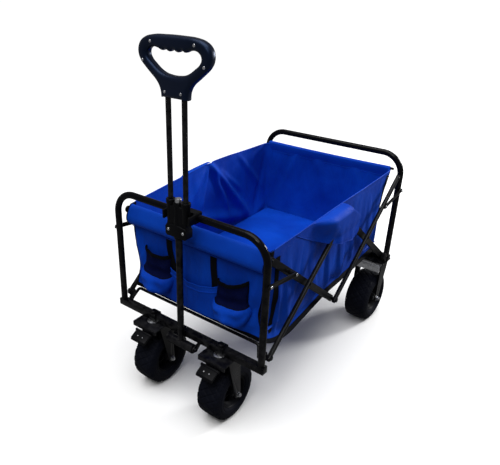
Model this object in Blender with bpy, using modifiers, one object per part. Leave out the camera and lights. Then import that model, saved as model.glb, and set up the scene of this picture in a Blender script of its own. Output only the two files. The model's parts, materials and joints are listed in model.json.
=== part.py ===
"""Collapsible folding wagon: two tubular end frames joined by crossed arms, a fabric tub with a
boarded floor, two braked swivel casters in front, two fixed wheels behind and a telescoping pull
handle. Metres, +Z up, the handle end at -Y, origin on the ground below the middle of the wagon."""

import math

import bpy
from mathutils import Matrix, Vector

# ---- driving dimensions ----
FRAME_LENGTH = 0.77  # front end frame to rear end frame
FRONT_Y = -0.37075  # plane of the front end frame
REAR_Y = FRONT_Y + FRAME_LENGTH
HALF_WIDTH = 0.25  # middle of the wagon to the centre of an upright
CROSSBAR_Z = 0.234  # centre of the lower crossbars above the ground
FRAME_HEIGHT = 0.365  # crossbar centre to top bar centre
TOP_Z = CROSSBAR_Z + FRAME_HEIGHT
TUBE_R = 0.0095
CORNER_R = 0.065
BAR = 0.020  # side of the square crossbars
GAP = 0.0003  # between pieces that touch

WHEEL_R = 0.0875
TYRE_HALF = 0.037
HUB_HALF = 0.034
RIM_R = 0.049
AXLE_R = 0.004

# ---- crossed arms ----
PIVOT_INSET = 0.030  # end pivots stand this far inside the end frames
LOW_PIVOT_Z = CROSSBAR_Z + 0.020
ARM_RISE = 0.280
ARM_SPAN = (FRAME_LENGTH - 2 * PIVOT_INSET) / 2
ARM_LENGTH = math.hypot(ARM_SPAN, ARM_RISE)
ARM_ANGLE = math.atan2(ARM_RISE, ARM_SPAN)
FOLD_ANGLE = math.radians(40)  # how far the arms steepen when the wagon folds
MIDDLE_Y = (FRONT_Y + REAR_Y) / 2
HIGH_PIVOT_Z = LOW_PIVOT_Z + ARM_RISE
INNER_X = (0.2375, 0.2435)  # the flat arms
OUTER_X = (0.2485, 0.2585)  # the box-section arms
LINK_X = (0.2600, 0.2630)  # the stay links, outside the uprights
PIN_R = 0.004
PIN_CLEAR = 0.0003
LINK_PIVOT_Z = CROSSBAR_Z + 0.250

# ---- casters and rear forks ----
CASTER_X = 0.1235
KINGPIN_Y = FRONT_Y - 0.010
TRAIL = 0.030
REAR_WHEEL_X = 0.212
REAR_WHEEL_Y = REAR_Y - 0.038
FORK_TOP_Z = CROSSBAR_Z - 0.0135
FORK_HALF = 0.0455
PLATE = 0.004
BRAKE_Y = KINGPIN_Y - 0.040
BRAKE_Z = FORK_TOP_Z - PLATE - 0.016

# ---- handle ----
HANDLE_Y = FRONT_Y - 0.025
SLEEVE_Z = CROSSBAR_Z - 0.024
SLEEVE_R = 0.0135
SLEEVE_HALF = 0.046
LOWER_TUBE_R = 0.0093
TWIN_X = 0.0245
TWIN_R = 0.0063
BLOCK_Z = (CROSSBAR_Z + 0.311, CROSSBAR_Z + 0.409)
SOCKET_DEPTH = 0.060  # how far the lower tube stands in the slide block
GRIP_Z = CROSSBAR_Z + 0.656
GRIP_DEPTH = 0.030

# ---- tub ----
TUB_HALF = 0.226
TUB_Y = (FRONT_Y + 0.040, REAR_Y - 0.040)
TUB_FLOOR_Z = CROSSBAR_Z + 0.052
TUB_TOP_Z = CROSSBAR_Z + 0.335
TUB_FRONT_Z = CROSSBAR_Z + 0.305
CLOTH = 0.004
BOARD = 0.006
POCKET_X = 0.130  # middle of a cup pocket on the front wall
POCKET_R = 0.047
POCKET_Z = (CROSSBAR_Z + 0.050, CROSSBAR_Z + 0.205)
POCKET_CLOTH = 0.003

for old in list(bpy.data.objects):
    bpy.data.objects.remove(old)
PARTS = bpy.data.collections.new("folding_wagon")
CUTTERS = bpy.data.collections.new("cutters")
for group in (PARTS, CUTTERS):
    bpy.context.scene.collection.children.link(group)


def material(name, colour, roughness, metallic=0.0):
    made = bpy.data.materials.new(name)
    made.use_nodes = True
    shader = made.node_tree.nodes["Principled BSDF"]
    shader.inputs["Base Color"].default_value = (*colour, 1)
    shader.inputs["Roughness"].default_value = roughness
    shader.inputs["Metallic"].default_value = metallic
    return made


BLACK_PAINT = material("black_paint", (0.012, 0.012, 0.014), 0.35)
STEEL = material("zinc_steel", (0.55, 0.56, 0.58), 0.35, 1.0)
PLASTIC = material("black_plastic", (0.010, 0.012, 0.022), 0.4)
HUB_PLASTIC = material("hub_plastic", (0.014, 0.015, 0.020), 0.5)
RUBBER = material("tyre_rubber", (0.012, 0.013, 0.018), 0.75)
BLUE_FABRIC = material("blue_fabric", (0.008, 0.045, 0.42), 0.7)


# ---- shapes ----
def place(obj, name, surface, group=None):
    """Names a new object, gives it its material and moves it into its collection."""
    for held in list(obj.users_collection):
        held.objects.unlink(obj)
    (group or PARTS).objects.link(obj)
    obj.name = name
    obj.data.name = name
    obj.data.materials.clear()
    obj.data.materials.append(surface)
    return obj


def set_apply(obj, matrix):
    """Bakes a placement into the mesh, so the object sits at the world's origin."""
    obj.data.transform(matrix)
    obj.matrix_world = Matrix.Identity(4)


def box(name, low, high, surface, bevel=0.0, group=None):
    bpy.ops.mesh.primitive_cube_add(size=1)
    obj = place(bpy.context.object, name, surface, group)
    low, high = Vector(low), Vector(high)
    set_apply(obj, Matrix.Translation((low + high) / 2) @ Matrix.Diagonal((*(high - low), 1)))
    if bevel:
        soften(obj, bevel)
    return obj


def soften(obj, width, segments=1):
    bevel = obj.modifiers.new("rounded edges", "BEVEL")
    bevel.width = width
    bevel.segments = segments
    bevel.limit_method = "ANGLE"
    bevel.angle_limit = math.radians(50)


def rod(name, start, end, radius, surface, sides=16, group=None):
    bpy.ops.mesh.primitive_cylinder_add(vertices=sides, radius=radius, depth=1)
    obj = place(bpy.context.object, name, surface, group)
    start, end = Vector(start), Vector(end)
    run = end - start
    turn = run.to_track_quat("Z", "Y").to_matrix().to_4x4()
    set_apply(obj, Matrix.Translation((start + end) / 2) @ turn @ Matrix.Diagonal((1, 1, run.length, 1)))
    obj.data.shade_smooth()
    obj.data.set_sharp_from_angle(angle=math.radians(40))
    return obj


def mirrored(obj, name):
    """A copy on the other side of the plane x = 0, with its modifiers' tools mirrored too."""
    mesh = bpy.data.meshes.new_from_object(evaluated(obj))
    mesh.transform(Matrix.Diagonal((-1, 1, 1, 1)) @ obj.matrix_world)
    mesh.flip_normals()
    copy = bpy.data.objects.new(name, mesh)
    mesh.name = name
    PARTS.objects.link(copy)
    return copy


def evaluated(obj):
    bpy.context.view_layer.update()
    return obj.evaluated_get(bpy.context.evaluated_depsgraph_get())


def rounded_path(corners, radius, steps=5):
    """The corner points with each inner corner turned into an arc."""
    corners = [Vector(c) for c in corners]
    points = [corners[0]]
    for before, corner, after in zip(corners, corners[1:], corners[2:]):
        back, ahead = (before - corner).normalized(), (after - corner).normalized()
        half = back.angle(ahead) / 2
        centre = corner + (back + ahead).normalized() * (radius / math.sin(half))
        first = corner + back * (radius / math.tan(half))
        last = corner + ahead * (radius / math.tan(half))
        sweep = (first - centre).angle(last - centre)
        for i in range(steps + 1):
            t = i / steps
            mix = ((first - centre) * math.sin((1 - t) * sweep) + (last - centre) * math.sin(t * sweep))
            points.append(centre + mix / math.sin(sweep))
    return points + [corners[-1]]


def tube(name, points, radius, surface, resolution=2):
    curve = bpy.data.curves.new(name, "CURVE")
    curve.dimensions = "3D"
    curve.bevel_depth = radius
    curve.bevel_resolution = resolution
    curve.use_fill_caps = True
    line = curve.splines.new("POLY")
    line.points.add(len(points) - 1)
    for point, at in zip(line.points, points):
        point.co = (*at, 1)
    return place(bpy.data.objects.new(name, curve), name, surface)


def to_mesh(curve):
    """The same object as one closed mesh, for a piece that is cut or joined."""
    name, surface = curve.name, curve.data.materials[0]
    mesh = bpy.data.meshes.new_from_object(evaluated(curve))
    mesh.transform(curve.matrix_world)
    bpy.data.objects.remove(curve)
    solid = place(bpy.data.objects.new(name, mesh), name, surface)
    weld = solid.modifiers.new("weld caps", "WELD")
    weld.merge_threshold = 0.00005
    mesh = bpy.data.meshes.new_from_object(evaluated(solid))
    solid.modifiers.clear()
    solid.data = mesh
    return solid


def flat(name, outline, holes, x_range, surface):
    """A flat piece lying in a plane of constant x: outline and holes are lists of (y, z)."""
    curve = bpy.data.curves.new(name, "CURVE")
    curve.dimensions = "2D"
    curve.fill_mode = "BOTH"
    curve.extrude = (x_range[1] - x_range[0]) / 2
    for loop in [outline, *holes]:
        line = curve.splines.new("POLY")
        line.points.add(len(loop) - 1)
        line.use_cyclic_u = True
        for point, (y, z) in zip(line.points, loop):
            point.co = (y, z, 0, 1)
    obj = place(bpy.data.objects.new(name, curve), name, surface)
    # local x, y, z become world y, z, x
    obj.matrix_world = Matrix(((0, 0, 1, sum(x_range) / 2), (1, 0, 0, 0), (0, 1, 0, 0), (0, 0, 0, 1)))
    return obj


def circle(centre, radius, sides=12, start=0.0):
    return [
        (centre[0] + radius * math.cos(start + math.tau * i / sides),
         centre[1] + radius * math.sin(start + math.tau * i / sides))
        for i in range(sides)
    ]


def stadium(a, b, half, overhang, steps=4):
    """A bar with round ends around the two pivots a and b."""
    along = Vector((b[0] - a[0], b[1] - a[1])).normalized()
    facing = math.atan2(along.y, along.x)
    points = []
    for centre, turn in ((b, facing), (a, facing + math.pi)):
        shift = overhang - half
        end = (centre[0] + shift * math.cos(turn), centre[1] + shift * math.sin(turn))
        for i in range(steps + 1):
            angle = turn - math.pi / 2 + math.pi * i / steps
            points.append((end[0] + half * math.cos(angle), end[1] + half * math.sin(angle)))
    return points


def turned(name, profile, axis_at, surface, sides):
    """A solid of revolution about a line along x: profile holds (x, radius) from -x to +x."""
    mesh = bpy.data.meshes.new(name)
    points = [(r, 0, -x) for x, r in profile]
    mesh.from_pydata(points, [(i, i + 1) for i in range(len(points) - 1)], [])
    obj = place(bpy.data.objects.new(name, mesh), name, surface)
    screw = obj.modifiers.new("turn", "SCREW")
    screw.axis = "Z"
    screw.steps = screw.render_steps = sides
    screw.use_merge_vertices = True
    screw.merge_threshold = 0.00002
    solid = bpy.data.meshes.new_from_object(evaluated(obj))
    obj.modifiers.clear()
    obj.data = solid
    # local -z becomes world x
    set_apply(obj, Matrix.Translation(axis_at) @ Matrix.Rotation(-math.pi / 2, 4, "Y"))
    solid.shade_smooth()
    solid.set_sharp_from_angle(angle=math.radians(40))
    return obj


def combine(base, tools, operation):
    for tool in tools:
        cut = base.modifiers.new(tool.name, "BOOLEAN")
        cut.operation = operation
        cut.object = tool
        cut.solver = "EXACT"
        for held in list(tool.users_collection):
            held.objects.unlink(tool)
        CUTTERS.objects.link(tool)
        tool.hide_render = True
        tool.display_type = "WIRE"
    return base


def joined(base, *tools):
    return combine(base, tools, "UNION")


def cut_by(base, *tools):
    return combine(base, tools, "DIFFERENCE")


def pivot_empty(name, location, parent=None):
    empty = bpy.data.objects.new(name, None)
    PARTS.objects.link(empty)
    empty.location = location
    if parent:
        empty.parent = parent
        empty.matrix_parent_inverse = evaluated(parent).matrix_world.inverted()
    return empty


def hang(empty, *pieces):
    """Parents pieces to the empty on their joint's axis, without moving them."""
    inverse = evaluated(empty).matrix_world.inverted()
    for piece in pieces:
        piece.parent = empty
        piece.matrix_parent_inverse = inverse


def both_sides(name, make):
    """Makes the +x piece with make(name) and mirrors it: returns the right and the left piece."""
    right = make(name + "_right")
    return right, mirrored(right, name + "_left")


# ---- end frames ----
def end_frame(name, y):
    foot = CROSSBAR_Z + BAR / 2 + GAP
    left, right = -HALF_WIDTH, HALF_WIDTH
    corners = [(left, y, foot), (left, y, TOP_Z), (right, y, TOP_Z), (right, y, foot)]
    return tube(name, rounded_path(corners, CORNER_R), TUBE_R, BLACK_PAINT, resolution=3)


def crossbar(name, y, inward, layer, stud_x, head_x):
    """The square lower crossbar with its two pivot brackets and their riveted studs."""
    half = BAR / 2
    bar = box(name, (-0.262, y - half, CROSSBAR_Z - half), (0.262, y + half, CROSSBAR_Z + half), BLACK_PAINT)
    pivot = (y + inward * PIVOT_INSET, LOW_PIVOT_Z)
    pieces = []
    for side in (1, -1):
        outline = [
            (y - inward * 0.004, CROSSBAR_Z - 0.006),
            (y + inward * 0.022, CROSSBAR_Z - 0.006),
            (pivot[0] + inward * 0.010, pivot[1] - 0.004),
            (pivot[0] + inward * 0.006, pivot[1] + 0.009),
            (pivot[0] - inward * 0.006, pivot[1] + 0.009),
            (y + inward * 0.0120, CROSSBAR_Z + 0.009),
            (y - inward * 0.004, CROSSBAR_Z + 0.006),
        ]
        xs = sorted(side * x for x in layer)
        pieces.append(to_mesh(flat(f"{name}_bracket", outline, [], xs, BLACK_PAINT)))
        stud = [(side * x, *pivot) for x in stud_x]
        pieces.append(rod(f"{name}_stud", *stud, PIN_R, BLACK_PAINT, sides=10))
        head = [(side * x, *pivot) for x in head_x]
        pieces.append(rod(f"{name}_head", *head, 0.007, BLACK_PAINT, sides=10))
    return joined(bar, *pieces)


def base_rod(name, y, inward):
    """The bent rod that carries one end of the tub's floor, with its ends against the crossbar."""
    z = CROSSBAR_Z + 0.043
    corners = [
        (-0.230, y + inward * 0.0170, CROSSBAR_Z + 0.014),
        (-0.218, y + inward * 0.034, z),
        (0.218, y + inward * 0.034, z),
        (0.230, y + inward * 0.0170, CROSSBAR_Z + 0.014),
    ]
    return tube(name, rounded_path(corners, 0.012, steps=3), 0.0045, BLACK_PAINT)


def top_rod(name, y, z):
    return rod(name, (-0.2365, y, z), (0.2365, y, z), 0.004, BLACK_PAINT, sides=10)


# ---- arms and links ----
def arm(name, low, high, layer, half, crossing_hole, end_holes):
    middle = ((low[0] + high[0]) / 2, (low[1] + high[1]) / 2)
    holes = [circle(at, PIN_R + PIN_CLEAR) for at in end_holes]
    if crossing_hole:
        holes.append(circle(middle, PIN_R + PIN_CLEAR))
    return flat(name, stadium(low, high, half, 0.011), holes, layer, BLACK_PAINT)


def riveted_arm(name, low, high, layer, half, end_holes, stud_x, heads_x):
    """An arm with the riveted stud at its middle that the crossing arm turns on."""
    base = to_mesh(arm(name, low, high, layer, half, False, end_holes))
    middle = ((low[0] + high[0]) / 2, (low[1] + high[1]) / 2)
    tools = [rod(f"{name}_stud", *[(x, *middle) for x in stud_x], PIN_R, BLACK_PAINT, sides=10)]
    for head in heads_x:
        tools.append(rod(f"{name}_head", *[(x, *middle) for x in head], 0.0065, BLACK_PAINT, sides=10))
    return joined(base, *tools)


def arms():
    """Two crosses a side. Each arm's points are (y, z)."""
    front_foot = (FRONT_Y + PIVOT_INSET, LOW_PIVOT_Z)
    front_top = (FRONT_Y + PIVOT_INSET, HIGH_PIVOT_Z)
    rear_foot = (REAR_Y - PIVOT_INSET, LOW_PIVOT_Z)
    rear_top = (REAR_Y - PIVOT_INSET, HIGH_PIVOT_Z)
    mid_low, mid_high = (MIDDLE_Y, LOW_PIVOT_Z), (MIDDLE_Y, HIGH_PIVOT_Z)
    inner_rear = both_sides("inner_arm_rear", lambda n: riveted_arm(
        n, rear_foot, mid_high, INNER_X, 0.0100, [rear_foot, mid_high],
        (INNER_X[0] + 0.001, 0.2600), [(0.2588, 0.2620), (0.2350, INNER_X[0] + 0.0005)]))
    outer_rear = both_sides("outer_arm_rear", lambda n: arm(
        n, mid_low, rear_top, OUTER_X, 0.0068, True, [mid_low]))
    outer_front = both_sides("outer_arm_front", lambda n: riveted_arm(
        n, front_foot, mid_high, OUTER_X, 0.0068, [front_foot, mid_high],
        (0.2360, OUTER_X[1] - 0.001), [(0.2350, 0.2372), (OUTER_X[1] - 0.0005, 0.2610)]))
    inner_front = both_sides("inner_arm_front", lambda n: arm(
        n, mid_low, front_top, INNER_X, 0.0100, True, [mid_low]))
    return inner_rear, outer_rear, outer_front, inner_front


def stepped_pin(name, centre, steps, surface=BLACK_PAINT):
    """A pin along x: steps holds (x, radius) where each run ends, starting at the first x."""
    profile = [(steps[0][0], 0.0)]
    for (x, radius), (next_x, _) in zip(steps, steps[1:]):
        profile += [(x, radius), (next_x, radius)]
    profile.append((steps[-1][0], 0.0))
    return turned(name, profile, centre, surface, 12)


def mid_top_pin(name):
    return stepped_pin(name, (0, MIDDLE_Y, HIGH_PIVOT_Z),
                       [(0.2345, 0.0070), (0.2372, PIN_R), (0.2588, 0.0070), (0.2618, 0)])


def mid_cross_rod():
    inner, outer = 0.2372, 0.2588
    return stepped_pin("mid_cross_rod", (0, MIDDLE_Y, LOW_PIVOT_Z),
                       [(-0.2618, 0.0070), (-outer, PIN_R), (-inner, 0.0060),
                        (inner, PIN_R), (outer, 0.0070), (0.2618, 0)])


def link_fraction():
    """How far along an arm, from its top end, a stay link keeps its length at both ends of the fold."""
    rest = HIGH_PIVOT_Z - LINK_PIVOT_Z
    folded_angle = ARM_ANGLE + FOLD_ANGLE
    span, rise = ARM_LENGTH * math.cos(folded_angle), ARM_LENGTH * math.sin(folded_angle)
    raised = LOW_PIVOT_Z + rise - LINK_PIVOT_Z
    sideways = 2 * PIVOT_INSET * (ARM_SPAN - span)
    return (raised ** 2 - rest ** 2) / (sideways + 2 * (raised * rise - rest * ARM_RISE))


def stay_link(name, y, inward, arm_x):
    """A flat link from the upright's outer side to the arm, with a rivet head on each end and the
    arm's spacer stud on its inner face."""
    from_top = link_fraction()
    post = (y, LINK_PIVOT_Z)
    far = (y + inward * (PIVOT_INSET + ARM_SPAN * from_top), HIGH_PIVOT_Z - ARM_RISE * from_top)
    base = to_mesh(flat(name, stadium(post, far, 0.0065, 0.0080), [], LINK_X, BLACK_PAINT))
    heads = [rod(f"{name}_rivet", (LINK_X[1] - 0.0005, *at), (LINK_X[1] + 0.0025, *at), 0.0048, STEEL,
                 sides=10) for at in (post, far)]
    spacer = rod(f"{name}_spacer", (arm_x + GAP, *far), (LINK_X[0] + 0.0005, *far), 0.0050, STEEL, sides=10)
    return joined(base, *heads, spacer)


# ---- wheels ----
def tyre_profile():
    seat = RIM_R + GAP
    half, bulge = TYRE_HALF, 0.0025
    shoulder = WHEEL_R - 0.0100
    return [
        (-half + 0.004, seat), (-half, seat + 0.004), (-half - bulge, WHEEL_R - 0.024),
        (-half, shoulder), (-half + 0.0100, WHEEL_R - 0.0012), (-0.012, WHEEL_R),
        (0.012, WHEEL_R), (half - 0.0100, WHEEL_R - 0.0012), (half, shoulder),
        (half + bulge, WHEEL_R - 0.024), (half, seat + 0.004), (half - 0.004, seat), (-half + 0.004, seat),
    ]


def hub_profile():
    bore, boss, dish = AXLE_R + GAP, 0.0120, 0.0060
    return [
        (-HUB_HALF, bore), (-HUB_HALF, boss), (-dish, boss + 0.004), (-dish, RIM_R - 0.006),
        (-HUB_HALF + 0.002, RIM_R - 0.003), (-HUB_HALF + 0.002, RIM_R),
        (HUB_HALF - 0.002, RIM_R), (HUB_HALF - 0.002, RIM_R - 0.003), (dish, RIM_R - 0.006),
        (dish, boss + 0.004), (HUB_HALF, boss), (HUB_HALF, bore), (-HUB_HALF, bore),
    ]


def wheel(end, side_name, x, y):
    tyre = turned(f"{end}_tyre_{side_name}", tyre_profile(), (x, y, WHEEL_R), RUBBER, 40)
    hub = turned(f"{end}_hub_{side_name}", hub_profile(), (x, y, WHEEL_R), HUB_PLASTIC, 28)
    return tyre, hub


def axle(name, x, y):
    """The axle bolt with its head and nut outside the fork's legs."""
    leg = FORK_HALF + GAP
    steps = [(-leg - 0.0065, 0.0065), (-leg, AXLE_R), (leg, 0.0070), (leg + 0.0070, 0.0045),
             (leg + 0.0095, 0)]
    return stepped_pin(name, (x, y, WHEEL_R), steps, STEEL)


# ---- forks ----
def leg_outline(y_top, half_top, y_axle, top):
    """A tapered leg from the top plate to a round foot about the axle."""
    foot = 0.0125
    arc = [
        (y_axle + foot * math.cos(a), WHEEL_R + foot * math.sin(a))
        for a in (math.radians(180 + 36 * i) for i in range(6))
    ]
    return [(y_top - half_top, top), *arc, (y_top + half_top, top)]


def fork(name, x, plate_y, y_axle, leg_y, half_top):
    """A folded-sheet fork: a top plate with a short front lip, and a leg on each side of the wheel."""
    bottom = FORK_TOP_Z - PLATE
    base = box(name, (x - FORK_HALF, plate_y[0], bottom), (x + FORK_HALF, plate_y[1], FORK_TOP_Z),
               BLACK_PAINT)
    lip_half = FORK_HALF - 0.001
    tools = [box(f"{name}_lip", (x - lip_half, plate_y[0] - 0.001, bottom - 0.010),
                 (x + lip_half, plate_y[0] + 0.003, bottom + 0.002), BLACK_PAINT)]
    for side in (1, -1):
        outer = FORK_HALF - 0.0005
        xs = sorted((x + side * (outer - PLATE), x + side * outer))
        outline = leg_outline(leg_y, half_top, y_axle, bottom + 0.002)
        hole = circle((y_axle, WHEEL_R), AXLE_R + GAP)
        tools.append(to_mesh(flat(f"{name}_leg", outline, [hole], xs, BLACK_PAINT)))
    return joined(base, *tools)


def kingpin(name):
    """The caster's stem: a cap over the crossbar's clamp, with the swivel stud below it."""
    x, y = CASTER_X, KINGPIN_Y
    half = BAR / 2 + GAP
    front, back = FRONT_Y - half, FRONT_Y + half
    top = CROSSBAR_Z + half
    saddle = box(name, (x - 0.013, front - 0.003, CROSSBAR_Z - half + 0.001),
                 (x + 0.013, back + 0.003, top + 0.003), BLACK_PAINT)
    slot = box(f"{name}_slot", (x - 0.02, front, CROSSBAR_Z - 0.05), (x + 0.02, back, top), BLACK_PAINT)
    cut_by(saddle, slot)
    dome = rod(f"{name}_dome", (x, y + 0.006, top + 0.002), (x, y + 0.006, top + 0.012), 0.0095,
               BLACK_PAINT, 14)
    soften(dome, 0.003, 2)
    return joined(saddle, dome)


def caster_stem(name):
    """The swivel bearing between the crossbar and the fork's plate, with its stud through the plate."""
    top = CROSSBAR_Z - BAR / 2 - GAP
    return rod(name, (CASTER_X, KINGPIN_Y, top), (CASTER_X, KINGPIN_Y, FORK_TOP_Z + GAP), 0.016, STEEL, 16)


def brake_lever(name):
    """The foot pedal in front of the fork: a hinge barrel, a sloping pad and a shoe behind it."""
    x, y = CASTER_X, BRAKE_Y
    base = rod(name, (x - 0.030, y, BRAKE_Z), (x + 0.030, y, BRAKE_Z), 0.0040, PLASTIC, sides=10)
    pad_outline = [(y + 0.001, BRAKE_Z + 0.003), (y - 0.026, BRAKE_Z - 0.012), (y - 0.028, BRAKE_Z - 0.020),
                   (y - 0.022, BRAKE_Z - 0.019), (y + 0.001, BRAKE_Z - 0.004)]
    pad = to_mesh(flat(f"{name}_pad", pad_outline, [], (x - 0.027, x + 0.027), PLASTIC))
    return joined(base, pad)



# ---- handle ----
def handle_sleeve():
    """The cross tube that swings on the handle pivot."""
    bore_r, bore_half = 0.0060, SLEEVE_HALF + 0.014
    sleeve = rod("handle_sleeve", (-SLEEVE_HALF, HANDLE_Y, SLEEVE_Z), (SLEEVE_HALF, HANDLE_Y, SLEEVE_Z),
                 SLEEVE_R, BLACK_PAINT, 18)
    bore = rod("sleeve_bore", (-bore_half, HANDLE_Y, SLEEVE_Z), (bore_half, HANDLE_Y, SLEEVE_Z), bore_r,
               BLACK_PAINT, 12, CUTTERS)
    return cut_by(sleeve, bore)


def handle_pivot():
    """The rod through the sleeve, held by two ears under the crossbar."""
    ear_x = (SLEEVE_HALF + 0.0012, SLEEVE_HALF + 0.0052)
    end = SLEEVE_HALF + 0.0100
    base = rod("handle_pivot", (-end, HANDLE_Y, SLEEVE_Z), (end, HANDLE_Y, SLEEVE_Z), 0.0056, BLACK_PAINT,
               12)
    tools = []
    under = CROSSBAR_Z - BAR / 2 - GAP
    for side in (1, -1):
        outline = [(HANDLE_Y - 0.009, SLEEVE_Z - 0.008), (HANDLE_Y + 0.009, SLEEVE_Z - 0.010),
                   (FRONT_Y + 0.008, under - 0.003), (FRONT_Y + 0.008, under),
                   (HANDLE_Y + 0.0135, under), (HANDLE_Y - 0.002, SLEEVE_Z + 0.010),
                   (HANDLE_Y - 0.009, SLEEVE_Z + 0.006)]
        xs = sorted(side * x for x in ear_x)
        tools.append(to_mesh(flat("ear", outline, [], xs, BLACK_PAINT)))
    return joined(base, *tools)


def lower_tube():
    return rod("handle_lower_tube", (0, HANDLE_Y, SLEEVE_Z + SLEEVE_R + GAP),
               (0, HANDLE_Y, BLOCK_Z[0] + SOCKET_DEPTH), LOWER_TUBE_R, BLACK_PAINT, 16)


def slide_block():
    """The moulded block on top of the lower tube that the two thin tubes slide through."""
    low, high = BLOCK_Z
    half, depth, past = 0.0365, 0.0135, 0.01
    block = box("slide_block", (-half, HANDLE_Y - depth, low), (half, HANDLE_Y + depth, high), PLASTIC,
                0.005)
    cutters = []
    for side in (1, -1):
        xs = sorted((side * 0.0330, side * 0.0500))
        cutters.append(box("waist", (xs[0], HANDLE_Y - 0.03, low + 0.028),
                           (xs[1], HANDLE_Y + 0.03, high - 0.030), PLASTIC, 0.003, CUTTERS))
        x = side * TWIN_X
        cutters.append(rod("tube_bore", (x, HANDLE_Y, low - past), (x, HANDLE_Y, high + past), TWIN_R + GAP,
                           PLASTIC, 14, CUTTERS))
    cutters.append(rod("tube_socket", (0, HANDLE_Y, low - past), (0, HANDLE_Y, low + SOCKET_DEPTH + GAP),
                       LOWER_TUBE_R + GAP, PLASTIC, 16, CUTTERS))
    cutters.append(rod("button_well", (0, HANDLE_Y, high - 0.018), (0, HANDLE_Y, high + past), 0.0093,
                       PLASTIC, 16, CUTTERS))
    return cut_by(block, *cutters)


def release_button():
    high = BLOCK_Z[1]
    shaft = rod("release_button", (0, HANDLE_Y, high - 0.0100), (0, HANDLE_Y, high + 0.0060), 0.0088,
                STEEL, 16)
    soften(shaft, 0.0030, 2)
    return shaft


def twin_tube(name):
    return rod(name, (TWIN_X, HANDLE_Y, BLOCK_Z[0] + 0.006), (TWIN_X, HANDLE_Y, GRIP_Z + 0.030), TWIN_R,
               BLACK_PAINT, 14)


def grip_loop(half_points, between=()):
    """A closed outline in (x, z) that is the same on both sides, from its points with x > 0."""
    left = [(-x, z) for x, z in reversed(half_points)]
    return [*half_points, *between, *left]


def grip():
    """The D-shaped grip: an outline with a hand hole whose upper edge has finger waves."""
    z = GRIP_Z
    outer = grip_loop([
        (0.0395, z), (0.0410, z + 0.016), (0.0480, z + 0.029), (0.0640, z + 0.044), (0.0860, z + 0.060),
        (0.1010, z + 0.074), (0.1085, z + 0.089), (0.1090, z + 0.104), (0.1030, z + 0.118),
        (0.0880, z + 0.130), (0.0640, z + 0.136), (0.0300, z + 0.1375)])
    steps, reach, wave = 18, 0.036, 0.0022
    waves = [(reach * (1 - 2 * i / steps), z + 0.0975 - wave * math.cos(math.tau * 3 * i / steps))
             for i in range(steps + 1)]
    hole = grip_loop([
        (0.0200, z + 0.0515), (0.0400, z + 0.0580), (0.0600, z + 0.0720), (0.0730, z + 0.0850),
        (0.0745, z + 0.0930), (0.0690, z + 0.1020), (0.0570, z + 0.1045), (0.0450, z + 0.1010)], waves)
    curve = bpy.data.curves.new("handle_grip", "CURVE")
    curve.dimensions = "2D"
    curve.fill_mode = "BOTH"
    curve.extrude = GRIP_DEPTH / 2
    for loop in (outer, hole):
        line = curve.splines.new("POLY")
        line.points.add(len(loop) - 1)
        line.use_cyclic_u = True
        for point, (x, height) in zip(line.points, loop):
            point.co = (x, height, 0, 1)
    body = place(bpy.data.objects.new("handle_grip", curve), "handle_grip", PLASTIC)
    body.matrix_world = Matrix(((1, 0, 0, 0), (0, 0, -1, HANDLE_Y), (0, 1, 0, 0), (0, 0, 0, 1)))
    body = to_mesh(body)
    soften(body, 0.0075, 2)
    bores = [rod("grip_bore", (x, HANDLE_Y, z - 0.01), (x, HANDLE_Y, z + 0.030 + GAP), TWIN_R + GAP,
                 PLASTIC, 14, CUTTERS) for x in (TWIN_X, -TWIN_X)]
    return cut_by(body, *bores)


def parking_clip():
    """A saddle on the front top bar whose two ears stand on either side of the slide block."""
    y, z = FRONT_Y, TOP_Z
    base = box("parking_clip", (-0.045, y - 0.014, z - 0.014), (0.045, y + 0.014, z + 0.014), PLASTIC, 0.002)
    ears = [box("clip_ear", (min(s * 0.0385, s * 0.045), HANDLE_Y - 0.012, z - 0.012),
                (max(s * 0.0385, s * 0.045), y, z + 0.012), PLASTIC, 0.0015) for s in (1, -1)]
    joined(base, *ears)
    bar = rod("clip_bore", (-0.06, y, z), (0.06, y, z), TUBE_R + GAP, PLASTIC, 16, CUTTERS)
    front = box("clip_front", (-0.0382, HANDLE_Y - 0.02, z - 0.02), (0.0382, y - TUBE_R - 0.0008, z + 0.02),
                PLASTIC, group=CUTTERS)
    return cut_by(base, bar, front)


# ---- tub ----
def tub_half(name, y_end, y_mid, end_top=TUB_TOP_Z):
    """Half of the fabric tub: a floor, two sides and one end wall, open on top and in the middle."""
    low, high = sorted((y_end, y_mid))
    shell = box(name, (-TUB_HALF, low, TUB_FLOOR_Z), (TUB_HALF, high, TUB_TOP_Z), BLUE_FABRIC)
    inside = [low + CLOTH, high - CLOTH]
    inside[1 if y_mid > y_end else 0] = y_mid + math.copysign(0.05, y_mid - y_end)
    hollow = box("tub_hollow", (-TUB_HALF + CLOTH, inside[0], TUB_FLOOR_Z + CLOTH),
                 (TUB_HALF - CLOTH, inside[1], TUB_TOP_Z + 0.05), BLUE_FABRIC, group=CUTTERS)
    if end_top < TUB_TOP_Z:
        reach = math.copysign(0.02, y_end - y_mid)
        ends = sorted((y_end + reach, y_end - reach))
        lowered = box("tub_lowered_end", (-TUB_HALF + CLOTH, ends[0], end_top),
                      (TUB_HALF - CLOTH, ends[1], TUB_TOP_Z + 0.05), BLUE_FABRIC, group=CUTTERS)
        return cut_by(shell, hollow, lowered)
    return cut_by(shell, hollow)


def floor_board(name, y_end, y_mid):
    low, high = sorted((y_end, y_mid))
    z = TUB_FLOOR_Z + CLOTH + GAP
    edge = TUB_HALF - CLOTH - 0.004
    return box(name, (-edge, low, z), (edge, high, z + BOARD), BLUE_FABRIC, 0.0015)


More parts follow.
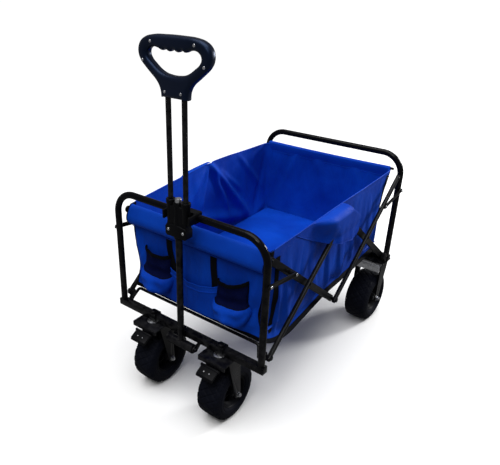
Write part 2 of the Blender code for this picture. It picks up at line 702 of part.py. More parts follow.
def cup_pocket(name):
    """A half-round pouch on the front wall, open on top."""
    back = TUB_Y[0] - GAP
    low, high = POCKET_Z
    middle_y, wide = back - 0.004, POCKET_R + 0.013
    outer = rod(name, (POCKET_X, middle_y, low), (POCKET_X, middle_y, high), POCKET_R, BLUE_FABRIC, 20)
    keep = box("pocket_keep", (POCKET_X - wide, back - wide, low - 0.01),
               (POCKET_X + wide, back, high + 0.01), BLUE_FABRIC, group=CUTTERS)
    hollow = rod("pocket_hollow", (POCKET_X, middle_y, low + POCKET_CLOTH),
                 (POCKET_X, middle_y, high + 0.02), POCKET_R - POCKET_CLOTH, BLUE_FABRIC, 20, CUTTERS)
    wall = box("pocket_wall", (POCKET_X - wide, back - POCKET_CLOTH, low - 0.02),
               (POCKET_X + wide, back + wide, high + 0.03), BLUE_FABRIC, group=CUTTERS)
    combine(hollow, [wall], "DIFFERENCE")
    combine(outer, [keep], "INTERSECT")
    return cut_by(outer, hollow)


# ---- the wagon ----
def build_frames():
    rear = [
        end_frame("rear_end_frame", REAR_Y),
        crossbar("rear_crossbar", REAR_Y, -1, OUTER_X, (0.2360, 0.2495), (0.2345, 0.2370)),
        base_rod("rear_base_rod", REAR_Y, -1),
        top_rod("rear_top_rod", REAR_Y - PIVOT_INSET, TUB_TOP_Z - 0.008),
    ]
    front = [
        end_frame("front_end_frame", FRONT_Y),
        crossbar("front_crossbar", FRONT_Y, 1, INNER_X, (0.2425, 0.2595), (0.2590, 0.2615)),
        base_rod("front_base_rod", FRONT_Y, 1),
        top_rod("front_top_rod", FRONT_Y + PIVOT_INSET, TUB_FRONT_Z - 0.012),
        *both_sides("caster_clamp", kingpin),
        handle_pivot(),
        parking_clip(),
    ]
    return rear, front


def build():
    rear, front = build_frames()
    tub_gap = GAP / 2
    tub_half("tub_rear", TUB_Y[1], MIDDLE_Y + tub_gap)
    floor_board("floor_board_rear", TUB_Y[1] - CLOTH - 0.004, MIDDLE_Y + 0.001)
    for side in (1, -1):
        place_name = "right" if side > 0 else "left"
        wheel("rear", place_name, side * REAR_WHEEL_X, REAR_WHEEL_Y)
        spin = pivot_empty(f"rear_wheel_{place_name}_axis", (side * REAR_WHEEL_X, REAR_WHEEL_Y, WHEEL_R))
        hang(spin, bpy.data.objects[f"rear_tyre_{place_name}"], bpy.data.objects[f"rear_hub_{place_name}"])
    both_sides("rear_fork", lambda n: fork(n, REAR_WHEEL_X, (REAR_Y - 0.052, REAR_Y + 0.030), REAR_WHEEL_Y,
                                           REAR_Y - 0.018, 0.028))
    both_sides("rear_axle", lambda n: axle(n, REAR_WHEEL_X, REAR_WHEEL_Y))
    inner_rear, outer_rear, outer_front, inner_front = arms()
    pins = both_sides("mid_top_pin", mid_top_pin)
    hang(pivot_empty("rear_foot_axis", (0, REAR_Y - PIVOT_INSET, LOW_PIVOT_Z)), *inner_rear, *pins)
    crossing = LOW_PIVOT_Z + ARM_RISE / 2
    hang(pivot_empty("rear_crossing_axis", (0, MIDDLE_Y + ARM_SPAN / 2, crossing)), *outer_rear,
         mid_cross_rod())
    hang(pivot_empty("mid_top_axis", (0, MIDDLE_Y, HIGH_PIVOT_Z)), *outer_front)
    hang(pivot_empty("front_crossing_axis", (0, MIDDLE_Y - ARM_SPAN / 2, crossing)), *inner_front)
    rear_links = both_sides("rear_stay_link", lambda n: stay_link(n, REAR_Y, -1, OUTER_X[1]))
    hang(pivot_empty("rear_link_axis", (0, REAR_Y, LINK_PIVOT_Z)), *rear_links)

    front_foot = pivot_empty("front_foot_axis", (0, FRONT_Y + PIVOT_INSET, LOW_PIVOT_Z))
    front.append(tub_half("tub_front", TUB_Y[0], MIDDLE_Y - tub_gap, TUB_FRONT_Z))
    front.append(floor_board("floor_board_front", TUB_Y[0] + CLOTH + 0.004, MIDDLE_Y - 0.001))
    front += both_sides("cup_pocket", cup_pocket)
    hang(front_foot, *front)
    front_links = both_sides("front_stay_link", lambda n: stay_link(n, FRONT_Y, 1, INNER_X[1]))
    hang(pivot_empty("front_link_axis", (0, FRONT_Y, LINK_PIVOT_Z), front_foot), *front_links)

    forks = both_sides("caster_fork", lambda n: fork(
        n, CASTER_X, (KINGPIN_Y - 0.036, KINGPIN_Y + 0.040), KINGPIN_Y + TRAIL, KINGPIN_Y + 0.010, 0.026))
    axles = both_sides("caster_axle", lambda n: axle(n, CASTER_X, KINGPIN_Y + TRAIL))
    stems = both_sides("caster_stem", caster_stem)
    levers = both_sides("brake_lever", brake_lever)
    for side, i, place_name in ((1, 0, "right"), (-1, 1, "left")):
        swivel = pivot_empty(f"caster_{place_name}_axis", (side * CASTER_X, KINGPIN_Y, CROSSBAR_Z),
                             front_foot)
        hang(swivel, forks[i], axles[i], stems[i])
        hang(pivot_empty(f"brake_{place_name}_axis", (side * CASTER_X, BRAKE_Y, BRAKE_Z), swivel),
             levers[i])
        spin = pivot_empty(f"front_wheel_{place_name}_axis",
                           (side * CASTER_X, KINGPIN_Y + TRAIL, WHEEL_R), swivel)
        hang(spin, *wheel("front", place_name, side * CASTER_X, KINGPIN_Y + TRAIL))

    handle_axis = pivot_empty("handle_axis", (0, HANDLE_Y, SLEEVE_Z), front_foot)
    hang(handle_axis, handle_sleeve(), lower_tube(), slide_block())
    telescope = pivot_empty("telescope_axis", (0, HANDLE_Y, BLOCK_Z[1]), handle_axis)
    hang(telescope, *both_sides("handle_tube", twin_tube), grip())
    hang(pivot_empty("button_axis", (0, HANDLE_Y, BLOCK_Z[1]), handle_axis), release_button())


build()
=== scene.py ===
"""Looks of the folding wagon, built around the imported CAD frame: painted tubes and arms, treaded
tyres, moulded handle, the sewn fabric tub with its pockets and straps, studio floor and lights."""

import json
import math

import bmesh
import bpy
import numpy as np
from mathutils import Matrix, Vector

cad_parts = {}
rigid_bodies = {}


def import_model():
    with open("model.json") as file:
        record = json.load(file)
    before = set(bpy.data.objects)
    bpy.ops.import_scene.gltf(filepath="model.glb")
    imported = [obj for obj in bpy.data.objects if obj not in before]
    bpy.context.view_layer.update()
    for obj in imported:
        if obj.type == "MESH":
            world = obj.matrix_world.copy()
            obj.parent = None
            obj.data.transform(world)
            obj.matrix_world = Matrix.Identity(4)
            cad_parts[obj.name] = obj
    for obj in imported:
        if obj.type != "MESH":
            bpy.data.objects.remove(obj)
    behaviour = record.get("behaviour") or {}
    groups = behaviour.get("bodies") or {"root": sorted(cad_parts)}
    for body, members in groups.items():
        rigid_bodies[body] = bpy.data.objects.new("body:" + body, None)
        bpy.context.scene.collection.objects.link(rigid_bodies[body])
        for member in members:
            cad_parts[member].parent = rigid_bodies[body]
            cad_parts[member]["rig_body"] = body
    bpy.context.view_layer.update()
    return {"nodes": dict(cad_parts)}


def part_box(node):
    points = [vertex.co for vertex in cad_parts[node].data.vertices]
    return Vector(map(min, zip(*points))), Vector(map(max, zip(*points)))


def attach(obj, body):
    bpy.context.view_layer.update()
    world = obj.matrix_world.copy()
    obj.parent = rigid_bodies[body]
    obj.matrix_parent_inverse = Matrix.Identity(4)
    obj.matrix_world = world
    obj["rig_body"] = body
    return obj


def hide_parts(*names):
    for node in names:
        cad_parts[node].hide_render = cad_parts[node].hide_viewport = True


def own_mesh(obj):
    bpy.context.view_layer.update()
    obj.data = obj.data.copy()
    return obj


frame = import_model()
SIDES = ((1, "right"), (-1, "left"))


def middle(node):
    low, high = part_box(node)
    return (low + high) / 2


# ---- driving sizes, from the frame ----
TUBE_R = 0.0095
FRONT_Y = middle("front_end_frame").y
REAR_Y = middle("rear_end_frame").y
MIDDLE_Y = (FRONT_Y + REAR_Y) / 2
HALF_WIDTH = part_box("front_end_frame")[1].x - TUBE_R
FRAME_FOOT_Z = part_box("front_end_frame")[0].z
TOP_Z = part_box("front_end_frame")[1].z - TUBE_R
CORNER_R = 0.065
CROSSBAR_Z = FRAME_FOOT_Z - 0.0103
LOW_PIVOT_Z = CROSSBAR_Z + 0.020
HIGH_PIVOT_Z = LOW_PIVOT_Z + 0.280
LINK_POST_Z = CROSSBAR_Z + 0.250
PIVOT_INSET = 0.030
INNER_X = (0.2375, 0.2435)
OUTER_X = (0.2485, 0.2585)
LINK_FACE_X = 0.2652
WHEEL_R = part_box("front_tyre_right")[1].z / 2
HANDLE_Y = middle("handle_lower_tube").y
SLIDE_X = abs(middle("handle_tube_right").x)
BLOCK_LOW_Z, BLOCK_HIGH_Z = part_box("slide_block")[0].z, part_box("slide_block")[1].z
GRIP_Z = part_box("handle_grip")[0].z


def new_object(name, data):
    obj = bpy.data.objects.new(name, data)
    bpy.context.scene.collection.objects.link(obj)
    return obj


# ---- camera, floor and light ----
def camera():
    """Looks down on the wagon from its front right corner."""
    azimuth, elevation, roll = math.radians(41.6), math.radians(28.0), math.radians(-1.1)
    distance, target = 2.012, Vector((-0.337, -0.01325, 0.234))
    back = Vector((math.sin(azimuth) * math.cos(elevation), -math.cos(azimuth) * math.cos(elevation),
                   math.sin(elevation)))
    right = (-back).cross(Vector((0, 0, 1))).normalized()
    up = right.cross(-back)
    across = right * math.cos(roll) + up * math.sin(roll)
    above = up * math.cos(roll) - right * math.sin(roll)
    data = bpy.data.cameras.new("camera")
    data.sensor_width = 36
    data.lens = 40.257
    data.shift_x, data.shift_y = 0.14, 0.035
    obj = new_object("camera", data)
    turn = Matrix((across, above, back)).transposed()
    obj.matrix_world = Matrix.Translation(target + back * distance) @ turn.to_4x4()
    bpy.context.scene.camera = obj


def light(name, kind, facing, power, **settings):
    """A light that shines along facing; settings are the light's own."""
    data = bpy.data.lights.new(name, kind)
    data.energy = power
    for key, value in settings.items():
        setattr(data, key, value)
    obj = new_object(name, data)
    obj.rotation_euler = Vector(facing).to_track_quat("-Z", "Y").to_euler()
    return obj


def softbox(name, location, aim, size, power):
    """A square area light at a location, turned to its aim."""
    box = light(name, "AREA", Vector(aim) - Vector(location), power, shape="SQUARE", size=size)
    box.location = location


def studio():
    """White surroundings, one broad light from above and two softboxes whose glints the tubes show."""
    world = bpy.data.worlds.new("studio")
    bpy.context.scene.world = world
    world.use_nodes = True
    tree = world.node_tree
    background = tree.nodes["Background"]
    background.inputs["Color"].default_value = (1, 1, 1, 1)
    seen = tree.nodes.new("ShaderNodeLightPath").outputs["Is Camera Ray"]
    strength = tree.nodes.new("ShaderNodeMapRange")
    tree.links.new(seen, strength.inputs["Value"])
    strength.inputs["To Min"].default_value = 0.21
    strength.inputs["To Max"].default_value = 1.0
    tree.links.new(strength.outputs["Result"], background.inputs["Strength"])
    light("broad", "SUN", (0.02, 0.16, -1.0), 2.85, angle=math.radians(58))
    softbox("side", (1.25, 2.4, 1.25), (0, 0, 0.40), 0.5, 52)
    softbox("front", (0.9, -2.4, 2.9), (0, 0, 0.45), 0.5, 14)
    bpy.context.scene.view_settings.view_transform = "Standard"
    mesh = bpy.data.meshes.new("floor")
    far = 40
    mesh.from_pydata([(-far, -far, 0), (far, -far, 0), (far, far, 0), (-far, far, 0)], [], [(0, 1, 2, 3)])
    floor = new_object("floor", mesh)
    floor.visible_glossy = False
    floor.visible_diffuse = False
    pale = bpy.data.materials.new("pale_floor")
    pale.use_nodes = True
    shader = pale.node_tree.nodes["Principled BSDF"]
    shader.inputs["Base Color"].default_value = (0.95, 0.95, 0.95, 1)
    shader.inputs["Roughness"].default_value = 0.9
    shader.inputs["Specular IOR Level"].default_value = 0.1
    mesh.materials.append(pale)


camera()
studio()


# ---- materials ----
class Surface:
    """A Principled material with helpers for its procedural textures, in the piece's own space."""

    def __init__(self, name, **sockets):
        self.material = bpy.data.materials.new(name)
        self.material.use_nodes = True
        self.tree = self.material.node_tree
        self.shader = self.tree.nodes["Principled BSDF"]
        for socket, value in sockets.items():
            self.shader.inputs[socket.replace("_", " ")].default_value = value
        self.place = self.node("ShaderNodeTexCoord").outputs["Object"]
        self.normal = None

    def node(self, kind, inputs=None, **settings):
        made = self.tree.nodes.new(kind)
        for key, value in settings.items():
            setattr(made, key, value)
        for key, value in (inputs or {}).items():
            if isinstance(value, bpy.types.NodeSocket):
                self.tree.links.new(value, made.inputs[key])
            else:
                made.inputs[key].default_value = value
        return made

    def noise(self, scale, detail=3.0):
        inputs = {"Vector": self.place, "Scale": scale, "Detail": detail}
        return self.node("ShaderNodeTexNoise", inputs).outputs["Fac"]

    def bands(self, direction, period):
        """Waves across one axis: a wave texture at scale 1 repeats every pi / 10."""
        return self.node("ShaderNodeTexWave", {"Vector": self.place, "Scale": math.pi / 10 / period},
                         bands_direction=direction, wave_profile="SIN").outputs["Fac"]

    def combine(self, operation, first, *others):
        """Adds or multiplies values in turn, one Math node for each."""
        for other in others:
            first = self.node("ShaderNodeMath", {0: first, 1: other}, operation=operation).outputs[0]
        return first

    def bump(self, height, distance, strength=1.0):
        """Adds relief to the surface, on top of any that it has."""
        inputs = {"Height": height, "Distance": distance, "Strength": strength}
        if self.normal is not None:
            inputs["Normal"] = self.normal
        self.normal = self.node("ShaderNodeBump", inputs).outputs["Normal"]
        self.tree.links.new(self.normal, self.shader.inputs["Normal"])

    def ramp(self, factor, low, high, start=0.35, end=0.65):
        return self.node("ShaderNodeMapRange", {"Value": factor, "From Min": start, "From Max": end,
                                                "To Min": low, "To Max": high}).outputs["Result"]

    def roughness(self, factor, low, high):
        self.tree.links.new(self.ramp(factor, low, high), self.shader.inputs["Roughness"])

    def colours(self, factor, first, second):
        mix = self.node("ShaderNodeMix", {"Factor": factor}, data_type="RGBA")
        mix.inputs[6].default_value = (*first, 1)
        mix.inputs[7].default_value = (*second, 1)
        self.tree.links.new(mix.outputs[2], self.shader.inputs["Base Color"])


def woven(name, dark, light, period, roughness=(0.5, 0.66), sheen=0.03):
    """Plain-weave cloth: threads along all three axes, soft crinkles and a slightly uneven dye."""
    made = Surface(name, Sheen_Weight=sheen, Sheen_Roughness=0.45, Specular_IOR_Level=0.07)
    made.shader.inputs["Sheen Tint"].default_value = (0.25, 0.45, 1.0, 1)
    threads = made.combine("ADD", *(made.bands(axis, period) for axis in "XYZ"))
    dye = made.combine("ADD", made.noise(7, 4), made.combine("MULTIPLY", threads, 0.05))
    made.colours(made.ramp(dye, 0.0, 1.0, 0.38, 0.78), dark, light)
    made.roughness(made.noise(30), *roughness)
    made.bump(made.noise(38, 4), 0.0012, 0.35)
    made.bump(threads, 0.00012, 0.6)
    return made.material


def painted(name, colour, roughness, coat):
    """Sprayed paint: a fine orange peel, slightly worn and lighter along the edges."""
    made = Surface(name, Metallic=0.0, Specular_IOR_Level=0.07, Coat_Weight=coat, Coat_Roughness=0.10)
    edge = made.node("ShaderNodeNewGeometry").outputs["Pointiness"]
    sharp, patchy = made.ramp(edge, 0.0, 1.0, 0.52, 0.60), made.ramp(made.noise(60), 0.0, 0.5)
    made.colours(made.combine("MULTIPLY", sharp, patchy), colour, tuple(0.03 + c for c in colour))
    made.roughness(made.noise(14), *roughness)
    made.bump(made.noise(420, 2), 0.00006, 0.5)
    return made.material


def moulded(name, colour, roughness, grain, specular=0.08, tint=(1, 1, 1)):
    """Moulded plastic or rubber with a fine grain and faint handling marks."""
    made = Surface(name, Specular_IOR_Level=specular, Specular_Tint=(*tint, 1))
    made.colours(made.ramp(made.noise(9, 5), 0.0, 1.0), colour, tuple(c * 1.5 + 0.002 for c in colour))
    made.roughness(made.noise(22, 4), *roughness)
    made.bump(made.noise(grain, 2), 0.00010, 0.5)
    return made.material


def plated(name):
    """Zinc-plated steel with faint cloudy staining."""
    made = Surface(name, Metallic=1.0)
    made.colours(made.ramp(made.noise(90, 4), 0.0, 1.0), (0.62, 0.63, 0.66), (0.48, 0.49, 0.52))
    made.roughness(made.noise(140), 0.22, 0.38)
    made.bump(made.noise(700, 2), 0.00004, 0.4)
    return made.material


def meshed(name):
    """Open knitted mesh: a grid of dark threads with darker holes."""
    made = Surface(name, Specular_IOR_Level=0.05)
    holes = made.combine("ADD", made.bands("X", 0.0022), made.bands("Z", 0.0022))
    made.colours(made.ramp(holes, 0.0, 1.0, 0.7, 1.3), (0.0008, 0.0014, 0.010), (0.0012, 0.0050, 0.060))
    made.roughness(made.noise(50), 0.65, 0.8)
    made.bump(holes, 0.0004, 0.8)
    return made.material


BLUE = woven("blue_oxford", (0.0008, 0.034, 0.36), (0.0022, 0.064, 0.54), 0.0011)
WEBBING = woven("black_webbing", (0.0010, 0.0011, 0.0024), (0.0028, 0.0030, 0.0060), 0.0022,
                roughness=(0.62, 0.78), sheen=0.0)
MESH_CLOTH = meshed("black_mesh")
PAINT = painted("black_enamel", (0.0012, 0.0012, 0.0024), (0.20, 0.32), 0.11)
ARM_PAINT = painted("satin_black", (0.0028, 0.0028, 0.0040), (0.32, 0.44), 0.05)
FORK_PAINT = painted("fork_black", (0.0014, 0.0015, 0.0032), (0.22, 0.36), 0.09)
GRIP_PLASTIC = moulded("grip_plastic", (0.0010, 0.0022, 0.0085), (0.30, 0.42), 900, 0.40, (0.30, 0.50, 1.0))
BLOCK_PLASTIC = moulded("block_plastic", (0.0012, 0.0013, 0.0022), (0.34, 0.46), 700)
HUB_PLASTIC = moulded("hub_black", (0.0014, 0.0016, 0.0032), (0.36, 0.50), 500)
RUBBER = moulded("tyre_black", (0.0012, 0.0018, 0.0052), (0.58, 0.74), 260)
STEEL = plated("bright_zinc")
STITCH = woven("blue_thread", (0.004, 0.045, 0.42), (0.010, 0.080, 0.62), 0.0006)


# ---- shapes ----
def body_of(node):
    return frame["nodes"][node]["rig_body"]


def finish_piece(obj, surface, body, *replaced):
    """Gives a piece its material and slot, and makes it ride on its body in place of CAD nodes."""
    obj.data.materials.clear()
    obj.data.materials.append(surface)
    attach(obj, body)
    if replaced:
        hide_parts(*replaced)
    return obj


def smooth(mesh, degrees=35):
    mesh.shade_smooth()
    mesh.set_sharp_from_angle(angle=math.radians(degrees))
    return mesh


def shape_of(mesh, weld=0.0):
    """The mesh opened for editing, with vertices nearer than weld made one."""
    shape = bmesh.new()
    shape.from_mesh(mesh)
    if weld:
        bmesh.ops.remove_doubles(shape, verts=shape.verts, dist=weld)
    return shape


def written(shape, mesh, outward=False):
    """Writes an edited shape into the mesh, first turning its faces outward if asked."""
    if outward:
        bmesh.ops.recalc_face_normals(shape, faces=shape.faces)
    shape.to_mesh(mesh)
    shape.free()
    return mesh


def ring_faces(shape, rings):
    """Closes a row of rings of vertices into a form with filled ends."""
    for one, two in zip(rings, rings[1:]):
        for i in range(len(one)):
            j = (i + 1) % len(one)
            shape.faces.new((one[i], one[j], two[j], two[i]))
    shape.faces.new(rings[0])
    shape.faces.new(rings[-1])


def evaluated_mesh(obj):
    bpy.context.view_layer.update()
    return bpy.data.meshes.new_from_object(obj.evaluated_get(bpy.context.evaluated_depsgraph_get()))


def bake(obj, degrees=35):
    """Applies every modifier, or turns a curve into a mesh, and welds its seams."""
    name = obj.name
    mesh = evaluated_mesh(obj)
    mesh.transform(obj.matrix_world)
    bpy.data.objects.remove(obj)
    written(shape_of(mesh, 0.00002), mesh)
    mesh.name = name
    return new_object(name, smooth(mesh, degrees))


def round_edges(obj, width, segments=2):
    edges = obj.modifiers.new("rounded edges", "BEVEL")
    edges.width = width
    edges.segments = segments
    edges.limit_method = "ANGLE"
    edges.angle_limit = math.radians(40)


def subdivide(obj):
    levels = obj.modifiers.new("smooth", "SUBSURF")
    levels.levels = levels.render_levels = 1


def rounded_path(corners, radius, steps):
    """The corner points with each inner corner turned into an arc."""
    corners = [Vector(c) for c in corners]
    points = [corners[0]]
    for before, corner, after in zip(corners, corners[1:], corners[2:]):
        back, ahead = (before - corner).normalized(), (after - corner).normalized()
        half = back.angle(ahead) / 2
        centre = corner + (back + ahead).normalized() * (radius / math.sin(half))
        first = corner + back * (radius / math.tan(half)) - centre
        last = corner + ahead * (radius / math.tan(half)) - centre
        sweep = first.angle(last)
        for i in range(steps + 1):
            t = i / steps
            mix = first * math.sin((1 - t) * sweep) + last * math.sin(t * sweep)
            points.append(centre + mix / math.sin(sweep))
    return points + [corners[-1]]


def tube(name, points, radius, half_sides=8):
    """A round bar along a line of points, with closed ends."""
    curve = bpy.data.curves.new(name, "CURVE")
    curve.dimensions = "3D"
    curve.bevel_depth = radius
    curve.bevel_resolution = half_sides
    curve.use_fill_caps = True
    line = curve.splines.new("POLY")
    line.points.add(len(points) - 1)
    for point, at in zip(line.points, points):
        point.co = (*at, 1)
    return bake(new_object(name, curve))


def turned(name, profile, sides=48):
    """A solid of revolution about x at the origin: profile holds (x, radius) from -x to +x."""
    shape = bmesh.new()
    rings = []
    for x, radius in profile:
        if radius <= 0:
            rings.append([shape.verts.new((x, 0, 0))])
            continue
        rings.append([shape.verts.new((x, radius * math.cos(a), radius * math.sin(a)))
                      for a in (math.tau * i / sides for i in range(sides))])
    for one, two in zip(rings, rings[1:]):
        for i in range(sides):
            j = i + 1
            corners = [one[i % len(one)], two[i % len(two)], two[j % len(two)], one[j % len(one)]]
            corners = list(dict.fromkeys(corners))
            if len(corners) > 2:
                shape.faces.new(corners)
    return new_object(name, smooth(written(shape, bpy.data.meshes.new(name), outward=True)))


def moved(obj, matrix):
    """The object with its mesh itself moved, so that its origin stays."""
    obj.data.transform(matrix)
    return obj


def join(name, objs, degrees=35):
    """One object made of several meshes, each left as its own closed shell."""
    shape = bmesh.new()
    for obj in objs:
        shape.from_mesh(obj.data)
        bpy.data.objects.remove(obj)
    return new_object(name, smooth(written(shape, bpy.data.meshes.new(name)), degrees))


def refine(node, surface, bevel):
    """The CAD node's own shape with rounded edges, in place of the sharp one."""
    mesh = frame["nodes"][node].data.copy()
    shape = shape_of(mesh, 0.00003)
    bmesh.ops.dissolve_limit(shape, angle_limit=math.radians(0.6), verts=shape.verts, edges=shape.edges)
    obj = new_object(node + "_finish", written(shape, mesh))
    if bevel:
        round_edges(obj, bevel)
    return finish_piece(bake(obj, 32), surface, body_of(node), node)


def prism(name, outline, low, high, axis, bevel, segments=2):
    """An outline with rounded edges: (y, z) points extruded along x, or (z, x) points along y."""
    place = {"x": lambda a, b, along: (along, a, b), "y": lambda a, b, along: (b, along, a)}[axis]
    shape = bmesh.new()
    bottom = [shape.verts.new(place(a, b, low)) for a, b in outline]
    top = [shape.verts.new(place(a, b, high)) for a, b in outline]
    shape.faces.new(bottom)
    shape.faces.new(top)
    for i in range(len(outline)):
        j = (i + 1) % len(outline)
        shape.faces.new((bottom[i], bottom[j], top[j], top[i]))
    obj = new_object(name, written(shape, bpy.data.meshes.new(name), outward=True))
    round_edges(obj, bevel, segments)
    return bake(obj)


def stadium(a, b, half, overhang, steps=12):
    """A bar with round ends around the two pivots a and b, as (y, z) points."""
    facing = math.atan2(b[1] - a[1], b[0] - a[0])
    shift = overhang - half
    points = []
    for centre, turn in ((b, facing), (a, facing + math.pi)):
        end = (centre[0] + shift * math.cos(turn), centre[1] + shift * math.sin(turn))
        for i in range(steps + 1):
            angle = turn - math.pi / 2 + math.pi * i / steps
            points.append((end[0] + half * math.cos(angle), end[1] + half * math.sin(angle)))
    return points


def dome(at, radius, height, direction):
    """A round rivet head: a low dome standing on a surface, facing along direction."""
    steps, sunk = 6, 0.0008
    arc = [math.pi / 2 * i / steps for i in range(1, steps)]
    profile = [(-sunk, 0), (-sunk, radius), (0, radius)]
    profile += [(height * math.sin(a), radius * math.cos(a)) for a in arc]
    head = turned("head", [*profile, (height, 0)], 20)
    turn = Vector((1, 0, 0)).rotation_difference(Vector(direction)).to_matrix().to_4x4()
    return moved(head, Matrix.Translation(at) @ turn)


# ---- painted frame ----
def end_frames():
    """The two hoops, and the bent rods above the crossbars that the tub's foot is sewn over."""
    for label, y, inward in (("front", FRONT_Y, 1), ("rear", REAR_Y, -1)):
        body = f"{label}_frame"
        corners = [(-HALF_WIDTH, y, FRAME_FOOT_Z), (-HALF_WIDTH, y, TOP_Z), (HALF_WIDTH, y, TOP_Z),
                   (HALF_WIDTH, y, FRAME_FOOT_Z)]
        hoop = tube(f"{label}_frame_tube", rounded_path(corners, CORNER_R, 24), TUBE_R, half_sides=10)
        finish_piece(hoop, PAINT, body, f"{label}_end_frame")
        low, high = CROSSBAR_Z + 0.014, CROSSBAR_Z + 0.043
        corners = [(-0.230, y + inward * 0.017, low), (-0.218, y + inward * 0.034, high),
                   (0.218, y + inward * 0.034, high), (0.230, y + inward * 0.017, low)]
        rod = tube(f"{label}_base_rod_finish", rounded_path(corners, 0.012, 8), 0.0045, half_sides=6)
        finish_piece(rod, PAINT, body, f"{label}_base_rod")
        refine(f"{label}_crossbar", PAINT, 0.0012)


def rim_rods():
    """The round rods that the tub's front roll and rear hem are sewn over."""
    for label in ("front", "rear"):
        low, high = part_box(f"{label}_top_rod")
        at = (low + high) / 2
        line = [(low.x, at.y, at.z), (high.x, at.y, at.z)]
        rod = tube(f"{label}_top_rod_finish", line, (high.z - low.z) / 2, half_sides=6)
        finish_piece(rod, PAINT, f"{label}_frame", f"{label}_top_rod")


def bar(node, a, b, x_range, half, rivets, surface, bevel):
    """An arm between two (y, z) pivots on one side, with its rivet heads joined on."""
    low, high = sorted(x_range)
    pieces = [prism(node + "_bar", stadium(a, b, half, 0.011), low, high, "x", bevel)]
    for x, at, facing, radius in rivets:
        pieces.append(dome((x, *at), radius, 0.0026, (facing, 0, 0)))
    finish_piece(join(node + "_finish", pieces), surface, body_of(node), node)


def arms():
    """The crossed arms on both sides with their rivets, the stay links and the middle pins."""
    front_foot = (FRONT_Y + PIVOT_INSET, LOW_PIVOT_Z)
    front_top = (FRONT_Y + PIVOT_INSET, HIGH_PIVOT_Z)
    rear_foot = (REAR_Y - PIVOT_INSET, LOW_PIVOT_Z)
    rear_top = (REAR_Y - PIVOT_INSET, HIGH_PIVOT_Z)
    mid_low, mid_high = (MIDDLE_Y, LOW_PIVOT_Z), (MIDDLE_Y, HIGH_PIVOT_Z)
    inner_half, inner_bevel = 0.0100, 0.0009
    outer_half, outer_bevel = 0.0068, 0.0016
    big, small = 0.0065, 0.0050

    def between(a, b):
        return ((a[0] + b[0]) / 2, (a[1] + b[1]) / 2)

    for side, label in SIDES:
        inner = tuple(side * x for x in INNER_X)
        outer = tuple(side * x for x in OUTER_X)

        def through_rivet(at):
            """Heads on the outer arm's outer face and on the inner arm's inner face."""
            return [(outer[1], at, side, big), (inner[0], at, -side, big)]

        bar(f"inner_arm_rear_{label}", rear_foot, mid_high, inner, inner_half,
            through_rivet(between(rear_foot, mid_high)), ARM_PAINT, inner_bevel)
        bar(f"outer_arm_rear_{label}", mid_low, rear_top, outer, outer_half,
            [(outer[1], rear_top, side, small)], PAINT, outer_bevel)
        bar(f"outer_arm_front_{label}", front_foot, mid_high, outer, outer_half,
            through_rivet(between(front_foot, mid_high)), PAINT, outer_bevel)
        bar(f"inner_arm_front_{label}", mid_low, front_top, inner, inner_half,
            [(inner[1], front_top, side, small)], ARM_PAINT, inner_bevel)
        for end in ("front", "rear"):
            refine(f"{end}_stay_link_{label}", ARM_PAINT, 0.0006)
        refine(f"mid_top_pin_{label}", PAINT, 0.0010)
    refine("mid_cross_rod", PAINT, 0.0008)


def link_rivets():
    """Bright domed rivets at both ends of each stay link."""
    for side, label in SIDES:
        for end, y in (("front", FRONT_Y), ("rear", REAR_Y)):
            node = f"{end}_stay_link_{label}"
            low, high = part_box(node)
            post = (y, LINK_POST_Z)
            far = (low.y + high.y - post[0], low.z + high.z - post[1])
            heads = [dome((side * LINK_FACE_X, *at), 0.0046, 0.0022, (side, 0, 0)) for at in (post, far)]
            finish_piece(join(f"{node}_rivets", heads), STEEL, body_of(node))


end_frames()
rim_rods()
arms()


# ---- wheels ----
TYRE_HALF = 0.037
RIM_R = 0.049


